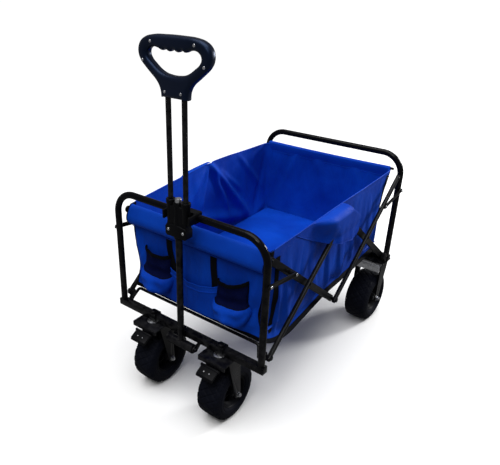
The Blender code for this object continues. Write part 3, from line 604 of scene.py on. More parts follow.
def tyre_mesh():
    """A treaded tyre about x: diamond blocks between diagonal grooves, with ringed side walls."""
    turns, tread_depth, blocks, crown_steps = 384, 0.0022, 22, 30
    half, shoulder_z = TYRE_HALF, WHEEL_R - 0.0100
    wall = [(half - 0.004, RIM_R + 0.0003), (half, RIM_R + 0.004), (half + 0.0016, RIM_R + 0.009),
            (half + 0.0006, RIM_R + 0.0105), (half + 0.0022, RIM_R + 0.012), (half + 0.0025, WHEEL_R - 0.024),
            (half + 0.0022, WHEEL_R - 0.018), (half + 0.0010, WHEEL_R - 0.0165),
            (half + 0.0016, WHEEL_R - 0.0150), (half + 0.0004, WHEEL_R - 0.0120), (half - 0.0006, shoulder_z)]
    corner = [(half - 0.0010 - 0.0090 * (1 - math.cos(a)), shoulder_z + 0.0088 * math.sin(a))
              for a in (math.radians(18 * i) for i in range(1, 6))]
    edge = corner[-1][0]
    spread = [1 - 2 * i / crown_steps for i in range(1, crown_steps)]
    crown = [(edge * part, WHEEL_R - 0.0012 * abs(part) ** 2) for part in spread]
    right = wall + corner
    profile = np.array([*right, *crown, *((-x, r) for x, r in reversed(right))])
    turn, x = np.meshgrid(np.linspace(0, math.tau, turns, endpoint=False), profile[:, 0], indexing="ij")
    radius = np.repeat(profile[:, 1][None], turns, 0)

    def groove(phase, width):
        """1 inside a groove that repeats with the phase, falling smoothly to 0 over its edges."""
        away = np.abs(phase - np.round(phase))
        return np.clip(1.6 - away / width, 0, 1)

    along, across = turn / math.tau * blocks, x / 0.030
    cut = np.maximum(groove(along + across, 0.075), groove(along - across, 0.075))
    cut = np.maximum(cut, groove(np.abs(x) / 0.054 + 0.5, 0.030))
    radius = radius - tread_depth * cut * np.clip((radius - (WHEEL_R - 0.0125)) / 0.004, 0, 1)
    points = np.stack([x, radius * np.cos(turn), radius * np.sin(turn)], -1).reshape(-1, 3)
    columns = len(profile)
    faces = []
    for i in range(turns):
        this, following = i * columns, (i + 1) % turns * columns
        for j in range(columns):
            after = (j + 1) % columns
            faces.append((this + j, this + after, following + after, following + j))
    mesh = bpy.data.meshes.new("tyre")
    mesh.from_pydata(points.tolist(), [], faces)
    mesh.update()
    return smooth(written(shape_of(mesh), mesh, outward=True), 50)


def hub_mesh():
    """The rim and boss of a wheel with six ribs in its dish on both sides."""
    half, dish, bore, boss, ribs = 0.034, 0.006, 0.0046, 0.0120, 6
    side = [(half, bore), (half, boss - 0.001), (half - 0.001, boss), (dish + 0.004, boss + 0.003),
            (dish, boss + 0.007), (dish, RIM_R - 0.012), (dish + 0.004, RIM_R - 0.008),
            (half - 0.004, RIM_R - 0.0042), (half - 0.0015, RIM_R - 0.0030), (half - 0.0006, RIM_R - 0.0016),
            (half - 0.0012, RIM_R), (0, RIM_R)]
    profile = [(-x, r) for x, r in side] + [(x, r) for x, r in reversed(side[:-1])]
    pieces = [turned("rim", [*profile, (-half, bore)], 72)]
    low, high = boss - 0.002, RIM_R - 0.0065
    for i in range(ribs):
        for facing in (1, -1):
            outline = [(low, dish - 0.002), (high, dish - 0.002), (high, dish + 0.009), (low, dish + 0.016)]
            rib = prism("rib", [(a, facing * b) for a, b in outline], -0.0016, 0.0016, "y", 0.0006)
            pieces.append(moved(rib, Matrix.Rotation(math.tau * i / ribs, 4, "X")))
    hub = join("hub", pieces)
    mesh = hub.data
    bpy.data.objects.remove(hub)
    return mesh


def wheels():
    """Four wheels that share one tyre mesh and one hub mesh, each with its axle bolt."""
    shared = (("tyre", tyre_mesh(), RUBBER), ("hub", hub_mesh(), HUB_PLASTIC))
    for end, axle in (("front", "caster_axle"), ("rear", "rear_axle")):
        for _, label in SIDES:
            at = middle(f"{end}_tyre_{label}")
            for kind, mesh, surface in shared:
                piece = new_object(f"{end}_{kind}_{label}_finish", mesh)
                piece.location = at
                finish_piece(piece, surface, body_of(f"{end}_tyre_{label}"), f"{end}_{kind}_{label}")
            axle_bolt(f"{axle}_{label}", at)


def axle_bolt(node, at):
    """The axle with a dished bolt head on one side and a washer, hex nut and thread end on the other."""
    leg = 0.0458  # the fork's outer faces stand this far from the wheel's middle
    shaft = turned("shaft", [(-leg - 0.001, 0), (-leg - 0.001, 0.004), (leg + 0.0090, 0.004),
                             (leg + 0.0095, 0.0034), (leg + 0.0095, 0)], 24)
    head = turned("head", [(-leg - 0.0062, 0), (-leg - 0.0065, 0.004), (-leg - 0.0050, 0.0064),
                           (-leg, 0.0066), (-leg, 0)], 24)
    washer = turned("washer", [(leg, 0), (leg, 0.0074), (leg + 0.0010, 0.0074), (leg + 0.0012, 0)], 24)
    nut = turned("nut", [(leg + 0.0011, 0), (leg + 0.0011, 0.0062), (leg + 0.0016, 0.0068),
                         (leg + 0.0060, 0.0068), (leg + 0.0066, 0.0060), (leg + 0.0066, 0)], 6)
    bolt = moved(join(node + "_finish", [shaft, head, washer, nut]), Matrix.Translation(at))
    finish_piece(bolt, STEEL, body_of(node), node)


def forks():
    """The forks, clamps, stems and brake levers, with the levers' rivets and the rear crown plates."""
    finishes = (("rear_fork", FORK_PAINT, 0.0010), ("caster_fork", FORK_PAINT, 0.0010),
                ("caster_clamp", PAINT, 0.0010), ("caster_stem", STEEL, 0.0008),
                ("brake_lever", BLOCK_PLASTIC, 0.0008))
    wheel_x = 0.1235
    slope = Vector((0, -0.5, 0.87))
    for side, label in SIDES:
        for node, surface, bevel in finishes:
            refine(f"{node}_{label}", surface, bevel)
        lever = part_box(f"brake_lever_{label}")[0]
        rivets = [dome((side * wheel_x + dx, lever.y + 0.0125, lever.z + 0.0145), 0.0018, 0.0010, slope)
                  for dx in (-0.009, 0.009)]
        finish_piece(join(f"brake_lever_rivets_{label}", rivets), STEEL, f"brake_{label}")
        low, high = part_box(f"rear_fork_{label}")
        crown = high.z
        lip = [(low.y - 0.0010, crown + 0.0010), (low.y + 0.016, crown + 0.0010),
               (low.y + 0.016, crown + 0.0002), (low.y - 0.0002, crown + 0.0002),
               (low.y - 0.0012, crown - 0.024), (low.y - 0.0022, crown - 0.024)]
        plate = prism(f"rear_fork_plate_{label}", lip, low.x + 0.002, high.x - 0.002, "x", 0.0004)
        finish_piece(plate, STEEL, "rear_frame")


wheels()
forks()


# ---- handle ----
def handle():
    """The lower tube on its pivot, the slide block, and the two tubes that slide through it."""
    for node, radius, half_sides, body in (("handle_tube_right", 0.0068, 8, "telescope"),
                                           ("handle_tube_left", 0.0068, 8, "telescope"),
                                           ("handle_lower_tube", 0.0093, 10, "handle")):
        low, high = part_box(node)
        x = (low.x + high.x) / 2
        post = tube(f"{node}_finish", [(x, HANDLE_Y, low.z), (x, HANDLE_Y, high.z)], radius, half_sides)
        finish_piece(post, PAINT, body, node)
    low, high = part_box("handle_sleeve")
    z, half, bore, outer = (low.z + high.z) / 2, high.x, 0.0062, 0.0135
    sleeve = turned("handle_sleeve_finish", [
        (-half, bore), (-half, outer - 0.0010), (-half + 0.0010, outer), (half - 0.0010, outer),
        (half, outer - 0.0010), (half, bore), (-half, bore)], 40)
    finish_piece(moved(sleeve, Matrix.Translation((0, HANDLE_Y, z))), PAINT, "handle", "handle_sleeve")
    refine("handle_pivot", PAINT, 0.0008)
    slide_block()
    refine("parking_clip", BLOCK_PLASTIC, 0.0008)
    refine("release_button", STEEL, 0)
    rivets = [dome((side * 0.024, HANDLE_Y - 0.0135, BLOCK_LOW_Z + 0.018), 0.0042, 0.0020, (0, -1, 0))
              for side in (1, -1)]
    finish_piece(join("slide_block_rivets", rivets), STEEL, "handle")


def slide_block():
    """The moulded block: two tube sockets joined by a web, above a riveted clamp on the lower tube."""
    low, high = BLOCK_LOW_Z, BLOCK_HIGH_Z

    def upright(name, profile, x):
        """A form turned about z at x, from (z, radius) points."""
        place = Matrix.Translation((x, HANDLE_Y, 0)) @ Matrix.Rotation(-math.pi / 2, 4, "Y")
        return moved(turned(name, profile, 36), place)

    def mirrored(half):
        """A closed (z, x) outline from the (x, z) points of its right half, taken in order."""
        return [(z, x) for x, z in half] + [(z, -x) for x, z in reversed(half)]

    socket = [(low + 0.040, 0), (low + 0.040, 0.0092), (low + 0.043, 0.0108), (high - 0.012, 0.0112),
              (high - 0.010, 0.0124), (high - 0.0012, 0.0124), (high, 0.0114), (high, 0.0066),
              (high - 0.004, 0.0064), (high - 0.004, 0)]
    web = [(0.0345, low + 0.004), (0.0350, low + 0.026), (0.0310, low + 0.034), (0.0300, low + 0.044),
           (0.0270, low + 0.052), (0.0270, high - 0.014), (0.0100, high - 0.014), (0.0100, high - 0.004)]
    clamp = [(0.0300, low), (0.0350, low + 0.005), (0.0350, low + 0.025), (0.0310, low + 0.031),
             (0.0150, low + 0.034)]
    collar = [(low - 0.006, 0), (low - 0.006, 0.0118), (low - 0.004, 0.0130), (low + 0.036, 0.0130),
              (low + 0.060, 0.0112), (high - 0.016, 0.0112), (high - 0.016, 0)]
    pieces = [upright("socket", socket, SLIDE_X), upright("socket", socket, -SLIDE_X),
              prism("web", mirrored(web), HANDLE_Y - 0.0100, HANDLE_Y + 0.0125, "y", 0.0022, 3),
              prism("clamp", mirrored(clamp), HANDLE_Y - 0.0135, HANDLE_Y + 0.0135, "y", 0.0020, 3),
              upright("collar", collar, 0)]
    finish_piece(join("slide_block_finish", pieces), BLOCK_PLASTIC, "handle", "slide_block")


def grip():
    """The D-shaped grip: smooth outer and hand-hole outlines, fully rounded, with finger waves."""
    round_r, thick, waves = 0.0105, 0.026, 18
    half_outer = [(0.0395, 0.0), (0.0400, 0.010), (0.0435, 0.022), (0.0520, 0.034), (0.0670, 0.0465),
                  (0.0835, 0.060), (0.0980, 0.074), (0.1050, 0.088), (0.1055, 0.102), (0.1000, 0.115),
                  (0.0860, 0.126), (0.0630, 0.1320), (0.0300, 0.1340)]
    half_hole = [(0.0200, 0.0515), (0.0400, 0.0575), (0.0600, 0.0705), (0.0745, 0.0835), (0.0775, 0.0930),
                 (0.0720, 0.1020), (0.0600, 0.1065), (0.0460, 0.1050)]
    fingers = [(0.036 * (1 - 2 * i / waves), 0.1020 - 0.0022 * math.cos(math.tau * 3 * i / waves))
               for i in range(1, waves)]
    foot = [(-0.02, 0.0), (0.0, 0.0), (0.02, 0.0)]
    curve = bpy.data.curves.new("grip", "CURVE")
    curve.dimensions = "2D"
    curve.fill_mode = "BOTH"
    curve.resolution_u = 6
    curve.extrude = thick / 2 - round_r
    curve.bevel_depth = round_r
    curve.bevel_resolution = 5
    curve.offset = -round_r

    def other(half):
        return [(-a, b) for a, b in reversed(half)]

    for loop in (half_outer + other(half_outer) + foot, half_hole + fingers + other(half_hole)):
        line = curve.splines.new("BEZIER")
        line.bezier_points.add(len(loop) - 1)
        line.use_cyclic_u = True
        for point, (a, b) in zip(line.bezier_points, loop):
            point.co = (a, GRIP_Z + b, 0)
            point.handle_left_type = point.handle_right_type = "AUTO" if b else "VECTOR"
    obj = new_object("handle_grip_finish", curve)
    obj.matrix_world = Matrix(((1, 0, 0, 0), (0, 0, -1, HANDLE_Y), (0, 1, 0, 0), (0, 0, 0, 1)))
    finish_piece(bake(obj, 40), GRIP_PLASTIC, "telescope", "handle_grip")
    screws = []
    for side in (1, -1):
        for a, b in ((0.0630, 0.1190), (0.0890, 0.0770), (0.0240, 0.0140)):
            for facing, radius, height in ((-1, 0.0036, 0.0014), (1, 0.0030, 0.0006)):
                at = (side * a, HANDLE_Y + facing * thick / 2, GRIP_Z + b)
                screws.append(dome(at, radius, height, (0, facing, 0)))
    finish_piece(join("grip_screws", screws), STEEL, "telescope")


handle()
grip()

# ---- fabric ----
SEWN_Y = FRONT_Y + 0.0375
REAR_WALL_Y = middle("rear_top_rod").y - 0.0024
WALL_X = 0.2325
PANEL_FOOT_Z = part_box("tub_front")[0].z - 0.002


def through(points, at):
    """A smooth curve through a few (a, b) points, read at one value or at an array of them."""
    a, b = np.array(points, float).T
    slope = np.gradient(b, a)
    at = np.clip(at, a[0], a[-1])
    i = np.clip(np.searchsorted(a, at) - 1, 0, len(a) - 2)
    width = a[i + 1] - a[i]
    t = (at - a[i]) / width
    first = (1 + 2 * t) * (1 - t) ** 2 * b[i] + t * (1 - t) ** 2 * width * slope[i]
    return first + t ** 2 * (3 - 2 * t) * b[i + 1] + t ** 2 * (t - 1) * width * slope[i + 1]


def ease(value, start, end):
    """A smooth step from 0 at start to 1 at end."""
    t = np.clip((value - start) / (end - start), 0, 1)
    return t * t * (3 - 2 * t)


def ripple(a, b, scale, seed):
    """Soft uneven waves between -1 and 1 over two coordinates, the same each run."""
    rng = np.random.default_rng(seed)
    waves = 7
    total = np.zeros(np.broadcast(a, b).shape)
    for _ in range(waves):
        turn, phase = rng.uniform(0, math.pi), rng.uniform(0, math.tau)
        length = scale * rng.uniform(0.6, 1.7)
        total += np.sin((a * math.cos(turn) + b * math.sin(turn)) * math.tau / length + phase)
    return total / waves


def ridge(a, b, start, end, widths, height):
    """A crease that runs from start to end over the coordinates a, b, and widens along its way."""
    run = np.subtract(end, start)
    length = np.hypot(*run)
    along = ((a - start[0]) * run[0] + (b - start[1]) * run[1]) / length ** 2
    away = np.abs((a - start[0]) * run[1] - (b - start[1]) * run[0]) / length
    width = widths[0] + (widths[1] - widths[0]) * np.clip(along, 0, 1)
    fade = ease(along, -0.08, 0.15) * (1 - ease(along, 0.72, 1.12))
    return height * fade * np.exp(-(away / width) ** 2)


def creases(a, b, folds):
    """The sum of several folds over the coordinates a, b."""
    return sum(ridge(a, b, *fold) for fold in folds)


def grid(first, second):
    """Two arrays that count over a grid, its columns by the first and its rows by the second."""
    return np.meshgrid(np.linspace(*first), np.linspace(*second), indexing="ij")


def stack(x, y, z):
    """One array of points from three coordinates that broadcast together."""
    return np.stack(np.broadcast_arrays(x, y, z), -1)


def grid_mesh(name, points):
    """Quads over a grid of points."""
    columns, rows = points.shape[:2]
    faces = []
    for i in range(columns - 1):
        this, following = i * rows, (i + 1) * rows
        faces += [(this + j, following + j, following + j + 1, this + j + 1) for j in range(rows - 1)]
    mesh = bpy.data.meshes.new(name)
    mesh.from_pydata(points.reshape(-1, 3).tolist(), [], faces)
    mesh.update()
    return mesh


def settle(points, growth, limit):
    """Lets a grid of cloth, cut a little too large, settle between its pinned borders."""
    frames, smoothings = 22, 6
    pinned = np.ones(points.shape[:2], bool)
    pinned[1:-1, 1:-1] = False
    obj = new_object("settling", grid_mesh("settling", points))
    pins = obj.vertex_groups.new(name="pins")
    pins.add(np.flatnonzero(pinned.reshape(-1)).tolist(), 1.0, "REPLACE")
    cloth = obj.modifiers.new("cloth", "CLOTH").settings
    cloth.quality = 6
    cloth.mass = 0.25
    cloth.tension_stiffness = cloth.compression_stiffness = 25
    cloth.shear_stiffness = 12
    cloth.bending_stiffness = 6
    cloth.air_damping = 4
    cloth.shrink_min = -growth
    cloth.vertex_group_mass = "pins"
    scene = bpy.context.scene
    for step in range(1, frames + 1):
        scene.frame_set(step)
    mesh = evaluated_mesh(obj)
    rested = np.empty(len(mesh.vertices) * 3)
    mesh.vertices.foreach_get("co", rested)
    bpy.data.objects.remove(obj)
    scene.frame_set(1)
    shift = rested.reshape(points.shape) - points
    for _ in range(smoothings):
        padded = np.pad(shift, ((1, 1), (1, 1), (0, 0)), mode="edge")
        around = padded[:-2, 1:-1] + padded[2:, 1:-1] + padded[1:-1, :-2] + padded[1:-1, 2:]
        shift = np.where(pinned[..., None], shift, 0.5 * shift + 0.125 * around)
    size = np.maximum(np.linalg.norm(shift, axis=-1, keepdims=True), 1e-9)
    return points + shift * np.minimum(1, limit / size)


def normals(points):
    """The unit normal at each point of a grid."""
    normal = np.cross(np.gradient(points, axis=0), np.gradient(points, axis=1))
    return normal / np.maximum(np.linalg.norm(normal, axis=-1, keepdims=True), 1e-12)


def sheet_piece(name, points, surface, body, thickness=0.0013):
    """A piece of cloth from a grid of points: given its thickness, then subdivided smooth."""
    obj = new_object(name, grid_mesh(name, points))
    solid = obj.modifiers.new("thickness", "SOLIDIFY")
    solid.thickness = thickness
    solid.offset = 0
    subdivide(obj)
    return finish_piece(bake(obj, 60), surface, body)


def lofted(name, sections, surface, body, fine=False):
    """A closed form from a row of closed sections, (sections, points, 3), with its ends filled."""
    shape = bmesh.new()
    ring_faces(shape, [[shape.verts.new(p) for p in section] for section in sections.tolist()])
    obj = new_object(name, smooth(written(shape, bpy.data.meshes.new(name), outward=True), 50))
    if fine:
        subdivide(obj)
        obj = bake(obj, 50)
    return finish_piece(obj, surface, body)


def cord(name, line, radius, body, surface=BLUE, half_sides=3):
    """A thin cord along a line of points, covered in the tub's own cloth or in another surface."""
    return finish_piece(tube(name, line, radius, half_sides), surface, body)


def reach(points, distance):
    """The points at a distance from the first row, measured along each column of a grid."""
    steps = np.linalg.norm(np.diff(points, axis=1), axis=-1)
    lengths = np.concatenate([np.zeros((len(points), 1)), np.cumsum(steps, axis=1)], 1)
    return np.array([[np.interp(distance, row, column[:, k]) for k in range(3)]
                     for row, column in zip(lengths, points)])


def binding(name, points, distances, surface, body, gap=0.0012, thick=0.0010):
    """Tape folded over a grid's first row, as wide as the last of the distances on each face."""
    rows = [reach(points, distance) for distance in distances]
    outward = normals(points)[:, 0]
    tip = rows[0] - rows[1]
    tip /= np.linalg.norm(tip, axis=-1, keepdims=True)
    far = gap + thick
    loop = [row + outward * far for row in reversed(rows)]
    loop += [rows[0] + tip * far + outward * far * 0.6, rows[0] + tip * far - outward * far * 0.6]
    loop += [row - outward * far for row in rows]
    loop += [row - outward * gap for row in reversed(rows)]
    loop += [row + outward * gap for row in rows]
    return lofted(name, np.stack(loop, 1), surface, body)


def stitches(name, line, outward, body, lift=0.0008):
    """A row of raised thread stitches along a line of points, standing on a surface."""
    pitch, half_wide, half_high = 0.0045, 0.00045, 0.00040
    steps = np.linalg.norm(np.diff(line, axis=0), axis=1)
    lengths = np.concatenate([[0], np.cumsum(steps)])
    outward = np.broadcast_to(outward, (len(line), 3))
    shape = bmesh.new()

    def at(distance, values):
        return np.array([np.interp(distance, lengths, values[:, k]) for k in range(3)])

    for i in range(int(lengths[-1] / pitch)):
        places = [(i + part) * pitch for part in (0.18, 0.5, 0.82)]
        start, centre, end = (at(place, line) + lift * at(place, outward) for place in places)
        facing = at(places[1], outward)
        side = np.cross(end - start, facing)
        side = side / max(np.linalg.norm(side), 1e-12) * half_wide
        up = facing * half_high
        rings = [[shape.verts.new(place + side * a * swell + up * b * swell)
                  for a, b in ((1, 0), (0, 1), (-1, 0), (0, -1))]
                 for place, swell in ((start, 0.45), (centre, 1.0), (end, 0.45))]
        ring_faces(shape, rings)
    mesh = written(shape, bpy.data.meshes.new(name), outward=True)
    return finish_piece(new_object(name, smooth(mesh, 60)), STITCH, body)


def fold_flat(*pieces):
    """Gives each piece a mesh of its own."""
    for piece in pieces:
        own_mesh(piece)


def panel_edge(z):
    """Half the front panel's width at a height: it is drawn in between its corners."""
    return through([(0.284, 0.2270), (0.320, 0.2190), (0.360, 0.2100), (0.395, 0.2150), (0.440, 0.2250),
                    (0.490, 0.2300), (0.560, 0.2320)], z)


LEFT_RIM = [(-0.334, 0.5520), (-0.274, 0.5555), (-0.135, 0.5650), (0.020, 0.5745), (0.120, 0.5720),
            (0.210, 0.5665), (0.364, 0.5590)]
RIGHT_RIM = [(-0.334, 0.5500), (-0.161, 0.5530), (0.020, 0.5565), (0.180, 0.5565), (0.364, 0.5590)]
FOOT = [(-0.334, 0.2840), (-0.285, 0.2560), (-0.210, 0.2390), (-0.118, 0.2500), (0.000, 0.2670),
        (0.110, 0.2710), (0.364, 0.2800)]
REAR_RIM = [(-0.232, 0.5580), (0.0, 0.5540), (0.232, 0.5580)]
# each fold: where it starts and ends, its width at both ends, and its height
# left wall over (y, z), height towards the inside
LEFT_FOLDS = [((0.020, 0.574), (0.245, 0.315), (0.008, 0.018), 0.0190),
              ((0.020, 0.572), (0.118, 0.372), (0.006, 0.013), 0.0150),
              ((0.014, 0.570), (-0.034, 0.424), (0.006, 0.013), 0.0085),
              ((0.000, 0.565), (-0.110, 0.440), (0.006, 0.016), 0.0070),
              ((-0.070, 0.410), (0.235, 0.325), (0.014, 0.022), 0.0150),
              ((0.345, 0.520), (0.285, 0.330), (0.006, 0.014), -0.0080),
              ((0.180, 0.560), (0.330, 0.400), (0.008, 0.014), 0.0070),
              ((0.075, 0.535), (0.200, 0.430), (0.006, 0.010), 0.0080)]
# right wall over (y, z), height towards the outside
RIGHT_FOLDS = [((-0.184, 0.535), (-0.205, 0.350), (0.007, 0.011), 0.0110),
               ((-0.238, 0.480), (-0.215, 0.270), (0.007, 0.013), 0.0160),
               ((-0.275, 0.460), (-0.262, 0.270), (0.005, 0.009), 0.0100),
               ((0.050, 0.460), (0.095, 0.285), (0.007, 0.013), 0.0150),
               ((0.220, 0.515), (0.262, 0.380), (0.006, 0.011), 0.0140),
               ((0.130, 0.490), (0.150, 0.320), (0.006, 0.011), 0.0120),
               ((-0.120, 0.440), (-0.060, 0.285), (0.008, 0.014), 0.0140),
               ((0.295, 0.515), (0.285, 0.330), (0.006, 0.010), 0.0110),
               ((-0.020, 0.450), (0.010, 0.290), (0.006, 0.010), 0.0100),
               ((-0.150, 0.530), (-0.165, 0.400), (0.005, 0.009), 0.0080)]
# rear wall over (x, z), height towards the inside
REAR_FOLDS = [((-0.140, 0.530), (-0.205, 0.340), (0.007, 0.014), -0.0050),
              ((-0.100, 0.555), (-0.170, 0.380), (0.006, 0.016), 0.0035),
              ((-0.030, 0.540), (0.030, 0.400), (0.014, 0.030), 0.0040),
              ((0.110, 0.545), (0.150, 0.360), (0.010, 0.022), 0.0040)]
# front panel over (x, z), height towards the front
PANEL_FOLDS = [((-0.215, 0.480), (-0.200, 0.385), (0.006, 0.010), 0.0045),
               ((-0.170, 0.440), (-0.212, 0.365), (0.006, 0.010), 0.0040),
               ((-0.212, 0.352), (-0.170, 0.300), (0.006, 0.012), 0.0045),
               ((0.205, 0.480), (0.190, 0.400), (0.006, 0.012), 0.0040),
               ((-0.020, 0.480), (0.020, 0.410), (0.010, 0.022), 0.0030),
               ((0.175, 0.345), (0.195, 0.315), (0.008, 0.012), 0.0020),
               ((0.110, 0.470), (0.150, 0.445), (0.008, 0.014), 0.0030)]


def wall_path(columns):
    """Points and outward normals at the rim: back along the left side, across the rear, and forward."""
    corner = 0.022
    bend_x, bend_y = WALL_X - corner, REAR_WALL_Y - corner
    arc = math.pi / 2 * corner
    ends = np.cumsum([bend_y - SEWN_Y, arc, 2 * bend_x, arc, bend_y - SEWN_Y])
    places = []
    for s in np.linspace(0, ends[-1], columns):
        if s < ends[0]:
            places.append((-WALL_X, SEWN_Y + s, -1, 0))
        elif s < ends[1]:
            out_x, out_y = -math.cos((s - ends[0]) / corner), math.sin((s - ends[0]) / corner)
            places.append((-bend_x + corner * out_x, bend_y + corner * out_y, out_x, out_y))
        elif s < ends[2]:
            places.append((-bend_x + s - ends[1], REAR_WALL_Y, 0, 1))
        elif s < ends[3]:
            out_x, out_y = math.sin((s - ends[2]) / corner), math.cos((s - ends[2]) / corner)
            places.append((bend_x + corner * out_x, bend_y + corner * out_y, out_x, out_y))
        else:
            places.append((WALL_X, bend_y - (s - ends[3]), 1, 0))
    return np.array(places).T


def wall_grid():
    """The side and rear walls as one sheet: drawn in at the foot, creased, then settled as cloth."""
    columns, rows = 300, 42
    x, y, out_x, out_y = (value[:, None] for value in wall_path(columns))
    t = np.linspace(0, 1, rows)[None]
    on_rear = ease(out_y, 0.3, 0.9)
    side_rim = np.where(x < 0, through(LEFT_RIM, y), through(RIGHT_RIM, y))
    rim = side_rim * (1 - on_rear) + through(REAR_RIM, x) * on_rear
    foot = through(FOOT, y)
    z = foot + (rim - foot) * t
    left, right = (out_x < -0.5), (out_x > 0.5)
    push = -0.0075 * (1 - t) ** 1.5
    bow = np.sin(math.pi * t)
    push = push - bow * np.where(right, 0.0135, np.where(left, 0.0060, 0.0050))
    around = np.cumsum(np.hypot(np.diff(x, axis=0, prepend=x[:1]), np.diff(y, axis=0, prepend=y[:1])), axis=0)
    push = push + bow * (0.0030 * ripple(around, z, 0.16, 5) + 0.0050 * ripple(around, 0.25 * z, 0.075, 7))
    at_front = 1 - ease(y, SEWN_Y, SEWN_Y + 0.10)
    push = push - np.abs(out_x) * at_front * np.maximum(0, WALL_X - panel_edge(z) + push)
    points = settle(stack(x + push * out_x, y + push * out_y, z), 0.012, 0.020)
    fold = right * creases(y, z, RIGHT_FOLDS) - left * creases(y, z, LEFT_FOLDS)
    fold = fold - (out_y > 0.5) * creases(x, z, REAR_FOLDS)
    points = points + fold[..., None] * np.stack([out_x, out_y, 0 * out_x], -1)
    points[..., 0] = np.clip(points[..., 0], -WALL_X, WALL_X)
    points[..., 1] = np.minimum(points[..., 1], REAR_WALL_Y + 0.001)
    return points


def walls():
    """The side and rear walls, bound at the foot and front edges, corded and stitched at the rim."""
    points = wall_grid()
    body = "rear_frame"
    sheet = sheet_piece("tub_walls", points, BLUE, body)
    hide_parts("tub_rear", "tub_front")
    pieces = [sheet, binding("tub_foot_binding", points, (0, 0.006, 0.0125), WEBBING, body),
              cord("tub_rim_cord", points[2:-2:2, -1], 0.0019, body, half_sides=4)]
    seam = reach(points[:, ::-1], 0.016)
    outward = normals(points)[:, -3]
    for facing, label in ((1, "outer"), (-1, "inner")):
        pieces.append(stitches(f"tub_rim_stitches_{label}", seam, facing * outward, body))
    for label, step in (("left", 1), ("right", -1)):
        front_edge = np.swapaxes(points[::step][:12], 0, 1)
        pieces.append(binding(f"front_corner_binding_{label}", front_edge, (0, 0.007, 0.0145), WEBBING, body))
    fold_flat(*pieces)
    return points


def floor_pad():
    """The padded bottom board: a flat crowned pad with creases where its boards hinge."""
    half_x, low_y, high_y = 0.2205, SEWN_Y + 0.006, REAR_WALL_Y - 0.008
    half_y, round_r, hinge_gap = (high_y - low_y) / 2, 0.012, 0.172
    a, b = grid((-1, 1, 46), (-1, 1, 70))
    x, y = half_x * a, (low_y + high_y) / 2 + half_y * b
    inset = np.minimum((1 - np.abs(a)) * half_x / round_r, (1 - np.abs(b)) * half_y / round_r)
    rounded = np.sqrt(1 - (1 - np.minimum(1, inset)) ** 2)
    crease = sum(np.exp(-((y - MIDDLE_Y - i * hinge_gap) / 0.006) ** 2) for i in (0, -1, 1))
    quilt = 0.0014 * ripple(x, y, 0.22, 21) - 0.0010 * crease
    half_thick = 0.0245 / 2
    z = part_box("floor_board_rear")[0].z + half_thick
    top = grid_mesh("floor_pad", stack(x, y, z + (half_thick + 0.0015 * (1 - a ** 2)) * rounded + quilt))
    under = grid_mesh("under", stack(x, y, z - half_thick * rounded))
    under.flip_normals()
    obj = join("floor_pad", [new_object("top", top), new_object("under", under)], 60)
    subdivide(obj)
    obj = bake(obj, 60)
    smooth(written(shape_of(obj.data, 0.0004), obj.data, outward=True), 60)
    finish_piece(obj, BLUE, "rear_frame", "floor_board_rear", "floor_board_front")
    fold_flat(obj)


def rear_hem():
    """The rear wall's top turned over the rear rod and sewn down behind."""
    rod, body = middle("rear_top_rod"), "rear_frame"
    half, stations, around = 0.2285, 60, 20
    x = np.linspace(-half, half, stations)[:, None]
    turn = np.linspace(0, math.tau, around, endpoint=False)[None]
    sag = 0.0022 * (1 - (x / half) ** 2)
    below = np.maximum(0, -np.cos(turn))
    y = rod.y + 0.0072 * (1 - 0.56 * below ** 1.5) * np.sin(turn) - 0.0022 * below
    drop = np.where(np.cos(turn) > 0, 0.0066, 0.0270)
    z = rod.z + drop * np.cos(turn) - sag + 0.0008 * ripple(x, turn * 0.01, 0.07, 31) * below
    sections = stack(x, y, z)
    pieces = [lofted("rear_hem", sections, BLUE, body, fine=True)]
    for facing, label, place in ((1, "outer", around // 4 + 3), (-1, "inner", 3 * around // 4 - 3)):
        pieces.append(stitches(f"rear_hem_stitches_{label}", sections[:, place], (0, facing, 0), body))
    pieces.append(cord("rear_hem_cord", sections[:, around // 2] - (0, 0.0012, 0), 0.0013, body))
    fold_flat(*pieces)


